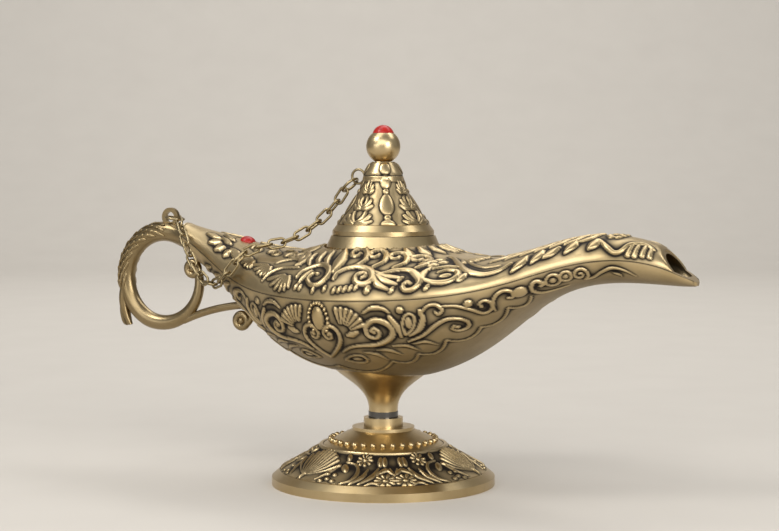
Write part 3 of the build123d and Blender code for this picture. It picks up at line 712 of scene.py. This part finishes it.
SKIN, DEPTH = 0.12, 0.45      # mm: how proud a skin's bare ground stands, and how deep its back lies
print("a skin is", SKIN + DEPTH, "mm thick")

# %% Close a skin with a back and a rim
def quads_of(rows, cols, ring=False):
    """The faces of a grid of points. In a ring the last row joins the first."""
    r, c = np.mgrid[0:rows if ring else rows - 1, 0:cols - 1]
    a, b = (r * cols + c).ravel(), ((r + 1) % rows * cols + c).ravel()
    return np.stack([a, a + 1, b + 1, b], 1)


def normals_of(points, outward):
    """Unit normals of a grid of points, on the outward side."""
    n = np.cross(np.gradient(points, axis=0), np.gradient(points, axis=1))
    n /= np.maximum(np.linalg.norm(n, axis=2, keepdims=True), 1e-9)
    return n * np.where((n * outward).sum(2, keepdims=True) < 0, -1, 1)


def closed_skin(name, points, normals, rise, hollow, keep=None, ring=False, body="lamp"):
    """A grid of points raised along its normals, closed by a back and a rim, as one piece."""
    rows, cols = rise.shape
    outer = (points + normals * (SKIN + rise)[..., None]).reshape(-1, 3)
    back = (points - normals * DEPTH).reshape(-1, 3)
    faces = quads_of(rows, cols, ring)
    if keep is not None:
        faces = faces[keep.ravel()[faces].all(1)]
    a, b, c = (outer[faces[:, k]] for k in (0, 1, 2))
    if (np.cross(b - a, c - a) * normals.reshape(-1, 3)[faces[:, 0]]).sum() < 0:
        faces = faces[:, ::-1]
    n = len(outer)
    edges = np.concatenate([faces[:, [0, 1]], faces[:, [1, 2]], faces[:, [2, 3]], faces[:, [3, 0]]])
    _, first, count = np.unique(np.sort(edges, 1), axis=0, return_index=True, return_counts=True)
    rim = edges[first[count == 1]]
    walls = np.stack([rim[:, 1], rim[:, 0], rim[:, 0] + n, rim[:, 1] + n], 1)
    every = np.concatenate([faces, faces[:, ::-1] + n, walls])
    used, every = np.unique(every, return_inverse=True)
    every = every.reshape(-1, 4)
    spots = np.concatenate([outer, back])[used]
    shade = np.concatenate([hollow.ravel(), np.ones(n)])[used]
    smooth = np.arange(len(every)) < 2 * len(faces)
    return piece(name, spots, every, BRASS, body, shade, smooth)


print("a grid of 3 by 4 points has", len(quads_of(3, 4)), "faces")

# %% Lay points on the body
def body_grid(x, angle, up):
    """Points of one side of the body: angle runs from the seam to the ridge or the keel."""
    w, seam = np.interp(x, SPAN, WIDTH), np.interp(x, SPAN, SEAM)
    reach = np.interp(x, SPAN, RIDGE) - seam if up else np.interp(x, SPAN, KEEL) - seam
    return np.stack([x, -w * np.cos(angle), seam + reach * np.sin(angle)], 2)


def onto(tree, points, normals, reach=8.0):
    """Moves points along their normals on to the CAD mesh, and smooths away its facets."""
    lift = np.zeros(points.shape[:2])
    for i, j in np.ndindex(*lift.shape):
        hit = tree.ray_cast(Vector((points[i, j] + normals[i, j] * reach) * MM), Vector(-normals[i, j]))
        if hit[0] is not None and abs(reach - hit[3] / MM) < 4.0:
            lift[i, j] = reach - hit[3] / MM
    if lift.shape[1] > 2:
        lift[:, :2] = lift[:, 2:3]      # rays can miss the edge at the seam
    for _ in range(2):
        side = np.pad(lift, 1, mode="edge")
        lift = sum(side[i:i + lift.shape[0], j:j + lift.shape[1]] for i in range(3) for j in range(3)) / 9
    return points + normals * lift[..., None]


def down_from_seam(points):
    """How far each point of a grid lies from the seam, along the surface."""
    steps = np.linalg.norm(np.diff(points, axis=1)[..., 1:], axis=2)
    return np.concatenate([np.zeros((len(points), 1)), np.cumsum(steps, 1)], 1)


near_seam = body_grid(np.zeros((1, 1)), np.zeros((1, 1)), True)[0, 0]
print("at X 0 the seam's near side is at", near_seam.round(1), "mm")

# %% Find the slanted mouth
cover_low_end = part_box("upper_cover")[1][0] / MM
top_hits = [(x, struck(COVER, (x, 0, 200), (0, 0, -1))) for x in np.arange(85, 96, 0.1)]
cover_top_end = max((x for x, hit in top_hits if hit is not None
                     and hit[2] > np.interp(x, SPAN, SEAM) + 3.5), default=90.0)
MOUTH_EDGE = ((cover_low_end, float(np.interp(cover_low_end, SPAN, SEAM))),
              (cover_top_end, float(np.interp(cover_top_end, SPAN, RIDGE))))


def mouth_x(z):
    """Where the slanted mouth lies at a height, from the CAD cover's own end."""
    low, high = MOUTH_EDGE
    return low[0] + (z - low[1]) * (high[0] - low[0]) / (high[1] - low[1])


print("mouth from X", round(float(cover_top_end), 1), "above to", round(float(cover_low_end), 1),
      "mm below")

# %% Lay the skins on the bowl and the cover
SEAM_START = math.radians(0.12)          # a skin begins just off the seam
SEAM_FADE, SEAM_DIRT = 0.5, 0.35         # mm over which the relief fades in and the dirt fades out
NECK_FLARE, FLARE_REACH = 1.7, 12.0      # mm: how the cover sweeps up to the neck
STONE_ROOM = (4.0, 3.8)                  # half axes in mm of the bare oval round the tail stone


def body_skin(name, relief, up, far, cols, rows):
    """A skin over one side of the cover, where up is true, or of the bowl."""
    angle = np.linspace(SEAM_START, math.pi / 2, rows)[None, :] * np.ones((cols, 1))
    share = np.linspace(0, 1, cols)[:, None] * np.ones((1, rows))
    start = SPAN[0] + 0.2
    end = np.full((1, rows), SPAN[-1] - 0.3)
    if up:
        for _ in range(12):      # closes in on the slanted mouth
            z = body_grid(np.repeat(end, 2, 0), angle[:2], True)[0, :, 2]
            end = 0.5 * end + 0.5 * np.clip(mouth_x(z), 80, 100)[None, :]
        end = end - 0.15
    points = body_grid(start + share * (end - start), angle, up)
    centre = np.stack([points[..., 0], 0 * points[..., 1], np.interp(points[..., 0], SPAN, SEAM)], 2)
    s = down_from_seam(points)
    rise = relief.sample(relief.height, points[..., 0], s)
    hollow = relief.sample(HOLLOWS[up], points[..., 0], s)
    rise = rise * np.clip(s / SEAM_FADE, 0, 1)
    hollow = np.maximum(hollow, 1 - np.clip(s / SEAM_DIRT, 0, 1))
    normals = normals_of(points, points - centre)
    normals[:, -1, 1] = 0.0
    normals /= np.linalg.norm(normals, axis=2, keepdims=True)
    points = onto(COVER if up else BOWL, points, normals)
    # Painted shade: the skin is made darker where it faces down, less so where relief stands proud.
    underside_shade = np.clip((-normals[..., 2] - 0.3) / 0.6, 0, 1) * (1 - 0.8 * np.clip(rise / 0.4, 0, 1))
    hollow = np.maximum(hollow, 0.5 * underside_shade)
    from_axis = np.hypot(points[..., 0], points[..., 1])
    if up:
        rise = rise + NECK_FLARE * np.clip(1 - (from_axis - NECK_REACH + 1) / FLARE_REACH, 0, 1) ** 2
        beside_stone = np.hypot((points[..., 0] - STONE_X) / STONE_ROOM[0], points[..., 1] / STONE_ROOM[1])
        keep = (from_axis > NECK_REACH - 0.9) & (beside_stone > 1)
    else:
        keep = from_axis > STEM_REACH - 0.8
    if far:
        points, normals = points * (1, -1, 1), normals * (1, -1, 1)
    return closed_skin(name, points, normals, rise, hollow, keep)


HOLLOWS = {True: cover_relief.hollow(), False: bowl_relief.hollow()}
skins = [body_skin("bowl_relief_near", bowl_relief, False, False, 400, 112),
         body_skin("bowl_relief_far", bowl_relief, False, True, 400, 112),
         body_skin("cover_relief_near", cover_relief, True, False, 400, 100),
         body_skin("cover_relief_far", cover_relief, True, True, 400, 100)]
print("skins:", [(s.name, len(s.data.polygons)) for s in skins])

# %% [markdown]
# ## The lid's strips and leaves
# The lid is turned, then chased: four upright strips of ovals and beads divide it into four fields, and
# leaf clusters stand between them. A turned surface unrolls by angle and height, so one quarter is
# drawn and repeated round the axis.

# %% Draw the lid's relief
LID_RISE = 22.6
LID_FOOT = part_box("lid")[1][2] / MM - LID_RISE
LID_TURN, LID_REACH = -57.0, 9.0      # degrees to the first strip, and the sheet's radius
QUARTER = LID_REACH * math.pi / 4
LID_LEAVES = (((0.3, 3.4), (3.6, 4.4), 1.1), ((0.3, 3.6), (3.0, 6.0), 1.4),
              ((0.2, 4.2), (1.7, 6.9), 1.4), ((0.2, 8.0), (3.0, 9.0), 1.3),
              ((0.2, 8.4), (2.3, 10.6), 1.4), ((0.1, 9.0), (0.9, 11.4), 1.2),
              ((0.2, 13.0), (2.4, 13.9), 1.2), ((0.2, 13.5), (2.0, 15.3), 1.2),
              ((0.1, 14.0), (0.7, 16.2), 1.1))
lid_relief = Relief((-QUARTER - 2, 2.0), (QUARTER + 2, 24.0), 0.1)
lid_relief.band(16.4, 18.2, 0.3)
for low, high, wide, rise in ((2.0, 4.9, 3.0, 0.5), (6.2, 12.7, 4.2, 0.65), (14.2, 18.4, 5.0, 0.6),
                              (18.6, 22.6, 6.6, 0.5)):
    lid_relief.oval(0, (low + high) / 2, wide / 2, (high - low) / 2, rise)
for high, wide in ((5.5, 1.7), (13.4, 2.5)):
    lid_relief.oval(0, high, wide / 2, 0.85, 0.55)
for side in (1, -1):
    for edge in (-QUARTER, QUARTER):
        for foot, tip, wide in LID_LEAVES:
            bend = (0.6 * foot[0] + 0.4 * tip[0] + 0.5, 0.5 * (foot[1] + tip[1]) - 0.3)
            rib = [(edge + side * x, h) for x, h in (foot, bend, tip)]
            lid_relief.stroke(rib, (0.5, wide, wide * 0.75), 0.55)
LID_HOLLOW = lid_relief.hollow(0.6, 0.5)
print("lid leaves:", 4 * len(LID_LEAVES), "on the sheet")

# %% A relief round a turned piece
def turned_skin(name, profile, relief, field, spot, cols, body):
    """A relief laid round a turned profile: spot turns an angle and a row into a place on the sheet."""
    turn = np.linspace(0, 2 * math.pi, cols, endpoint=False)
    r, z = profile.T
    slope = np.gradient(profile, axis=0)
    slope /= np.linalg.norm(slope, axis=1, keepdims=True)
    way = 1 if slope[len(slope) // 2, 1] > 0 else -1
    c, s = np.cos(turn)[:, None], np.sin(turn)[:, None]
    points = np.stack([c * r, s * r, np.broadcast_to(z, (cols, len(z)))], 2)
    normals = np.stack([c * slope[:, 1] * way, s * slope[:, 1] * way,
                        np.broadcast_to(-slope[:, 0] * way, (cols, len(z)))], 2)
    x, y = spot(turn[:, None], np.arange(len(z))[None, :])
    rise, hollow = relief.sample(relief.height, x, y), relief.sample(field, x, y)
    rows = np.arange(len(z))
    rise = rise * np.clip(np.minimum(rows, len(z) - 1 - rows) / 3, 0, 1)
    return closed_skin(name, points, normals, rise, hollow, ring=True, body=body)


def wrapped(turn, first, count):
    """An angle counted from the nearest of several evenly spaced axes, in radians."""
    step = 2 * math.pi / count
    return (turn - math.radians(first) + step / 2) % step - step / 2


third = math.degrees(wrapped(math.radians(90), 0, 3))
print("90 degrees, counted from the nearest of three axes:", round(third), "degrees")

# %% Lay the lid's relief
LID_TREE = ray_tree("lid")
lid_heights = LID_FOOT + np.linspace(3.3, LID_RISE - 0.3, 95)
lid_profile = np.array([(struck(LID_TREE, (40, 0, z), (-1, 0, 0))[0], z) for z in lid_heights])


def lid_spot(turn, row):
    """A place on the lid's sheet, from an angle and a row of the profile."""
    return wrapped(turn, LID_TURN, 4) * LID_REACH + 0 * row, lid_heights[row] - LID_FOOT + 0 * turn


lid_skin = turned_skin("lid_relief", lid_profile, lid_relief, LID_HOLLOW, lid_spot, 480, "lid")
print("lid relief:", len(lid_skin.data.polygons), "faces")

# %% [markdown]
# ## The foot's flowers and shells
# The sloping flank of the foot repeats three times round: two buds and two daisies on an axis, flowers
# and curling leaves beside them, and a fluted shell between one set and the next. Half a set is drawn
# and mirrored. A round moulding closes the flank under the beads.

# %% Flowers, and half a set for the foot
FOOT_TURN, FOOT_REACH = -90 + 34.0, 26.0      # as on the lid: degrees to the first axis, and the radius
foot_relief = Relief((-32.0, -0.5), (32.0, 16.8), 0.12)


def flower(a, s, radius, petals):
    """A daisy: short petals round a button."""
    for turn in np.arange(petals) * 2 * math.pi / petals:
        x, y = math.cos(turn), math.sin(turn)
        inner, outer = ((a + share * radius * x, s + share * radius * y) for share in (0.45, 0.9))
        foot_relief.stroke([inner, outer], (0.5, 1.2), 0.5)
    foot_relief.oval(a, s, 0.32 * radius, 0.32 * radius, 0.6)


def foot_half(side):
    """Half of one set, on one side of its axis."""
    def at(*spots):
        return [(side * math.radians(turn) * FOOT_REACH, s) for turn, s in spots]

    for shift in (-0.75, 0.75):
        (a, s), = at((7.6, 4.7))
        foot_relief.oval(a + shift, s, 0.95, 2.3, 0.6)
    flower(*at((21.4, 3.9))[0], 2.7, 9)
    flower(*at((5.8, 13.3))[0], 2.7, 10)
    foot_relief.oval(*at((35.0, 3.2))[0], 1.0, 1.8, 0.6, side * 0.4)
    foot_relief.oval(*at((33.5, 8.2))[0], 1.1, 2.2, 0.6, side * 0.5)
    foot_relief.stroke(at((35.0, 5.4), (27.0, 6.2), (23.6, 9.4), (25.4, 13.4), (31.0, 15.6)),
                       (0.7, 1.0, 1.3, 0.7), 0.55)
    foot_relief.stroke(at((10.4, 7.6), (13.8, 11.4), (20.6, 15.4)), (0.6, 1.9, 0.6), 0.55)
    foot_relief.stroke(at((17.4, 8.2), (19.8, 11.8), (25.6, 15.6)), (0.6, 1.7, 0.6), 0.55)
    foot_relief.stroke(at((9.4, 15.6), (13.0, 14.6), (17.0, 15.8)), (0.5, 1.2, 0.5), 0.5)
    foot_relief.stroke(at((1.4, 10.2), (5.0, 8.4), (9.6, 9.8), (11.0, 11.0)), (0.8, 1.9, 0.7), 0.55)
    foot_relief.stroke(at((0.2, 11.0), (1.6, 9.0), (2.4, 7.6)), (0.5, 0.9, 0.5), 0.45)
    for turn, s in ((37.5, 11.6), (40.5, 13.8), (36.6, 14.6), (42.6, 11.4), (44.0, 15.0)):
        foot_relief.oval(*at((turn, s))[0], 0.75, 0.75, 0.55)
    foot_relief.stroke(at((39.0, 6.6), (41.4, 9.6), (48.0, 14.6)), (0.6, 1.1, 0.6), 0.5)
    for share in np.linspace(0.0, 1.0, 6):
        tip = at((60.0 - 21.0 * share, 1.6 + 5.6 * share**2.2))[0]
        root = at((60.0 - 3.0 * share, 13.0))[0]
        mid = (0.5 * (tip[0] + root[0]) - side * 0.8 * share, 0.5 * (tip[1] + root[1]))
        foot_relief.stroke([tip, mid, root], (1.3, 0.55, 0.3), 0.65)
    foot_relief.stroke(at((60.0, 13.0), (60.0, 15.8)), (1.3, 0.8), 0.6)


print("foot sheet:", foot_relief.height.shape, "cells")

# %% Draw the foot's relief
for side in (1, -1):
    foot_half(side)
foot_relief.stroke([(-30.0, 0.8), (30.0, 0.8)], 1.6, 0.6)      # the moulding
FOOT_HOLLOW = foot_relief.hollow(0.8, 2.0)
print("foot set drawn, highest", round(foot_relief.height.max(), 2), "mm")

# %% Lay the foot's relief
FOOT_TREE = ray_tree("foot")
foot_radii = np.linspace(32.3, 18.7, 74)
foot_profile = np.array([(r, height(FOOT_TREE, r, 0.0, -1)) for r in foot_radii])
steps_down = np.linalg.norm(np.diff(foot_profile[::-1], axis=0), axis=1)
foot_down = np.concatenate([[0], np.cumsum(steps_down)])[::-1]


def foot_spot(turn, row):
    """A place on the foot's sheet, from an angle and a row of the profile."""
    return wrapped(turn, FOOT_TURN, 3) * FOOT_REACH + 0 * row, foot_down[row] + 0 * turn


foot_skin = turned_skin("foot_relief", foot_profile, foot_relief, FOOT_HOLLOW, foot_spot, 660, "lamp")
print("foot relief:", len(foot_skin.data.polygons), "faces")

# %% [markdown]
# ## Beads
# A row of beads is one bead repeated along a path, which is what Geometry Nodes does best. The group
# below puts a ball on every point of a mesh, stretched and turned as the point says. It makes the ring
# on the foot, the small beads round the oval under the seam and, further down, the handle's feathers.
# The result is baked to a plain mesh.

# %% Build the bead group
def bead_group():
    """One stretched ball on every point: its X lies along the point's way, its Z along its out."""
    group = bpy.data.node_groups.new("bead_row", "GeometryNodeTree")
    for name, kind, way in (("Spots", "NodeSocketGeometry", "INPUT"),
                            ("Bead radius", "NodeSocketFloat", "INPUT"),
                            ("Stretch", "NodeSocketVector", "INPUT"),
                            ("Finish", "NodeSocketMaterial", "INPUT"),
                            ("Beads", "NodeSocketGeometry", "OUTPUT")):
        group.interface.new_socket(name, in_out=way, socket_type=kind)

    def node(kind, **settings):
        made = group.nodes.new(kind)
        for key, value in settings.items():
            setattr(made, key, value)
        return made

    start, end = node("NodeGroupInput"), node("NodeGroupOutput")
    ball, put = node("GeometryNodeMeshUVSphere"), node("GeometryNodeInstanceOnPoints")
    real, smooth = node("GeometryNodeRealizeInstances"), node("GeometryNodeSetShadeSmooth")
    coat = node("GeometryNodeSetMaterial")
    along = node("GeometryNodeInputNamedAttribute", data_type="FLOAT_VECTOR")
    out = node("GeometryNodeInputNamedAttribute", data_type="FLOAT_VECTOR")
    along.inputs["Name"].default_value, out.inputs["Name"].default_value = "along", "out"
    lie = node("FunctionNodeAlignRotationToVector", axis="X")
    face = node("FunctionNodeAlignRotationToVector", axis="Z", pivot_axis="X")
    ball.inputs["Segments"].default_value, ball.inputs["Rings"].default_value = 16, 10
    for begin, stop in ((start.outputs["Spots"], put.inputs["Points"]),
                        (start.outputs["Bead radius"], ball.inputs["Radius"]),
                        (start.outputs["Stretch"], put.inputs["Scale"]),
                        (start.outputs["Finish"], coat.inputs["Material"]),
                        (along.outputs["Attribute"], lie.inputs["Vector"]),
                        (lie.outputs[0], face.inputs["Rotation"]),
                        (out.outputs["Attribute"], face.inputs["Vector"]),
                        (face.outputs[0], put.inputs["Rotation"]),
                        (ball.outputs["Mesh"], put.inputs["Instance"]),
                        (put.outputs["Instances"], real.inputs["Geometry"]),
                        (real.outputs["Geometry"], smooth.inputs["Geometry"]),
                        (smooth.outputs["Geometry"], coat.inputs["Geometry"]),
                        (coat.outputs["Geometry"], end.inputs["Beads"])):
        group.links.new(begin, stop)
    return group


BEADS = bead_group()
print("bead group:", len(BEADS.nodes), "nodes")

# %% Bake a row of beads
def bead_row(name, spots, radius, finish=BRASS, stretch=(1, 1, 1), along=(1, 0, 0), out=(0, 0, 1)):
    """Balls on a row of spots, baked to one mesh."""
    mesh = bpy.data.meshes.new(name)
    mesh.from_pydata((np.asarray(spots) * MM).tolist(), [], [])
    for key, way in (("along", along), ("out", out)):
        ways = np.broadcast_to(np.asarray(way, float), (len(spots), 3)).ravel()
        mesh.attributes.new(key, "FLOAT_VECTOR", "POINT").data.foreach_set("vector", ways)
    row = bpy.data.objects.new(name, mesh)
    bpy.context.scene.collection.objects.link(row)
    nodes = row.modifiers.new("beads", "NODES")
    sockets = {item.name: item.identifier for item in BEADS.interface.items_tree}
    nodes.node_group = BEADS
    nodes[sockets["Bead radius"]] = radius * MM
    nodes[sockets["Stretch"]] = stretch
    nodes[sockets["Finish"]] = finish
    baked = bpy.data.meshes.new_from_object(row.evaluated_get(bpy.context.evaluated_depsgraph_get()))
    row.modifiers.clear()
    row.data = baked
    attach(row, "lamp")
    return row


print("a row takes:", [item.name for item in BEADS.interface.items_tree if item.in_out == "INPUT"])

# %% Set the ring of beads on the foot
BEAD_RING, BEAD_COUNT, BEAD_LIFT = 16.4, 34, 0.25      # the ring's radius in mm, its beads, their rise
ring_height = height(FOOT_TREE, BEAD_RING, 0.0, -1) + BEAD_LIFT
turns = np.linspace(0, 2 * math.pi, BEAD_COUNT, endpoint=False)
ring_spots = [(BEAD_RING * math.cos(t), BEAD_RING * math.sin(t), ring_height) for t in turns]
bead_row("foot_beads", ring_spots, 0.95)
print("beads:", BEAD_COUNT, "on the foot")

# %% Set the beads round the ovals
def bowl_spot(x, s, out):
    """A place on the near side of the bowl, s down from the seam and out from the metal."""
    angle = np.linspace(0.01, math.pi / 2, 200)[None, :]
    line = body_grid(np.full((3, 200), x) + np.array([[-0.5], [0], [0.5]]), np.repeat(angle, 3, 0), False)
    normals = normals_of(line, line - np.array([x, 0, float(np.interp(x, SPAN, SEAM))]))
    row = int(np.argmin(np.abs(down_from_seam(line)[1] - s)))
    place = onto(BOWL, line[1:2, row:row + 1], normals[1:2, row:row + 1])[0, 0]
    return place + normals[1, row] * out


oval_spots = [bowl_spot(x, s, 0.3) for x, s in OVAL_BEADS]
for name, flip in (("oval_beads_near", 1), ("oval_beads_far", -1)):
    bead_row(name, [spot * (1, flip, 1) for spot in oval_spots], 0.5)
print("beads:", len(oval_spots), "round each oval")

# %% [markdown]
# ## Feathers on the handle
# The upper left of the handle's ring is chased with rows of small overlapping feathers. They are the
# same beads again, stretched long and flat, laid along the ring and turned to face out of the metal.
# Rays cast at the CAD handle find where each one sits. The feathers end in one blunt folded leaf,
# which thickens the CAD handle's thin one.

# %% Lay the feathers along the ring
HANDLE = ray_tree("handle")
RING_MIDDLE, RING_RADIUS = np.array([-80.9, 0.0, 62.0]), 15.3


def feathers(first=92.0, last=196.0, step=7.5):
    """Barbs that lean away from the ring's outer line. Gives their spots, ways and faces."""
    spots, along, out = [], [], []
    for row, turn in enumerate(np.radians(np.arange(first, last, step))):
        away = np.array([math.cos(turn), 0.0, math.sin(turn)])
        ahead = np.array([-math.sin(turn), 0.0, math.cos(turn)])
        for lean in np.radians(np.arange(-108, 109, 36) + 18 * (row % 2)):
            face = away * math.cos(lean) + np.array([0.0, math.sin(lean), 0.0])
            aside = np.cross(ahead, face) * np.sign(-lean)
            spot = struck(HANDLE, RING_MIDDLE + away * RING_RADIUS + face * 8, -face)
            if spot is not None and np.linalg.norm(spot - RING_MIDDLE - away * RING_RADIUS) < 4.0:
                spots.append(spot)
                along.append(ahead + 0.35 * aside - 0.1 * face)
                out.append(face)
    return spots, along, out


spots, along, out = feathers()
bead_row("handle_feathers", spots, 1.0, WORN, (2.1, 0.62, 0.34), along, out)
print("feathers:", len(spots))

# %% Fold the leaf at their end
def leaf_end(name, path, wide, thick, sides=20):
    """A blunt leaf in the plane of the ring: an oval tube with rounded ends."""
    line = curve(path, 0.4)
    along = np.gradient(line, axis=0)
    along /= np.linalg.norm(along, axis=1, keepdims=True)
    share = np.linspace(0, 1, len(line))
    blunt = np.sqrt(np.clip(1 - np.abs(2 * share - 1) ** 8, 0.02, 1))
    full = np.interp(share, np.linspace(0, 1, len(wide)), wide) * blunt
    turn = np.linspace(0, 2 * math.pi, sides, endpoint=False)
    fold = 1 - 0.35 * np.exp(-((np.abs(np.sin(turn)) - 1) / 0.06) ** 2)
    x = line[:, :1] + along[:, 1:] * full[:, None] * np.cos(turn)
    z = line[:, 1:] - along[:, :1] * full[:, None] * np.cos(turn)
    y = thick * (full / full.max())[:, None] * np.sin(turn) * fold
    spots = np.stack([x, y, z], 2).reshape(-1, 3)
    rows = len(line)
    r, c = np.mgrid[0:rows - 1, 0:sides]
    a, b = r * sides + c, r * sides + (c + 1) % sides
    quads = np.stack([a, b, b + sides, a + sides], 2).reshape(-1, 4)
    caps = [list(range(sides))[::-1], list(range((rows - 1) * sides, rows * sides))]
    shade = np.broadcast_to((1 - fold) * 2, (rows, sides)).ravel()
    return piece(name, spots, quads.tolist() + caps, WORN, "lamp", shade)


LEAF_PATH = [(-95.6, 61.5), (-96.9, 56.0), (-97.1, 50.5), (-96.2, 45.6)]
handle_leaf = leaf_end("handle_leaf", LEAF_PATH, (1.2, 1.7, 1.8, 1.6), 1.7)
print("handle leaf:", len(handle_leaf.data.polygons), "faces")

# %% [markdown]
# ## The stone on the tail
# The red stone on the tail is a high cabochon that stands clear of the leaves round it. The CAD stone
# gives its seat and its axis; a turned dome on that axis takes its place, since a scaled copy would
# also widen the part that sits in the metal.

# %% Turn the tail stone
SEAT, DOME = 2.15, 2.6                 # radii in mm, in the metal and over it
DOME_FOOT, DOME_RISE = 0.85, 1.9       # mm over the seat's floor, and from there to the top


def tail_dome(sides=40):
    """A cabochon turned about the CAD stone's own axis, which is its thinnest way."""
    corners = np.array([v.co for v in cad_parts["tail_stone"].data.vertices]) / MM
    middle = corners.mean(0)
    axis = np.linalg.eigh(np.cov((corners - middle).T))[1][:, 0]
    axis *= np.sign(axis[2])
    base = middle + axis * ((corners - middle) @ axis).min()
    u = np.cross(axis, (0, 1, 0))
    u /= np.linalg.norm(u)
    v = np.cross(axis, u)
    steps = np.linspace(0, math.pi / 2, 14)[:-1]
    profile = [(SEAT, 0.02), (SEAT, 0.45), (DOME, 0.62)]
    profile += [(DOME * math.cos(t), DOME_FOOT + DOME_RISE * math.sin(t)) for t in steps]
    turns = np.linspace(0, 2 * math.pi, sides, endpoint=False)
    spots = [base + axis * h + r * (u * math.cos(t) + v * math.sin(t)) for r, h in profile for t in turns]
    spots += [base + axis * 0.02, base + axis * (DOME_FOOT + DOME_RISE)]
    faces = [(k * sides + i, k * sides + (i + 1) % sides, (k + 1) * sides + (i + 1) % sides,
              (k + 1) * sides + i) for k in range(len(profile) - 1) for i in range(sides)]
    last = (len(profile) - 1) * sides
    faces += [((i + 1) % sides, i, len(spots) - 2) for i in range(sides)]
    faces += [(last + i, last + (i + 1) % sides, len(spots) - 1) for i in range(sides)]
    made = piece("tail_dome", spots, faces, STONE, "lamp")
    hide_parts("tail_stone")
    return made


print("tail stone:", len(tail_dome().data.polygons), "faces")
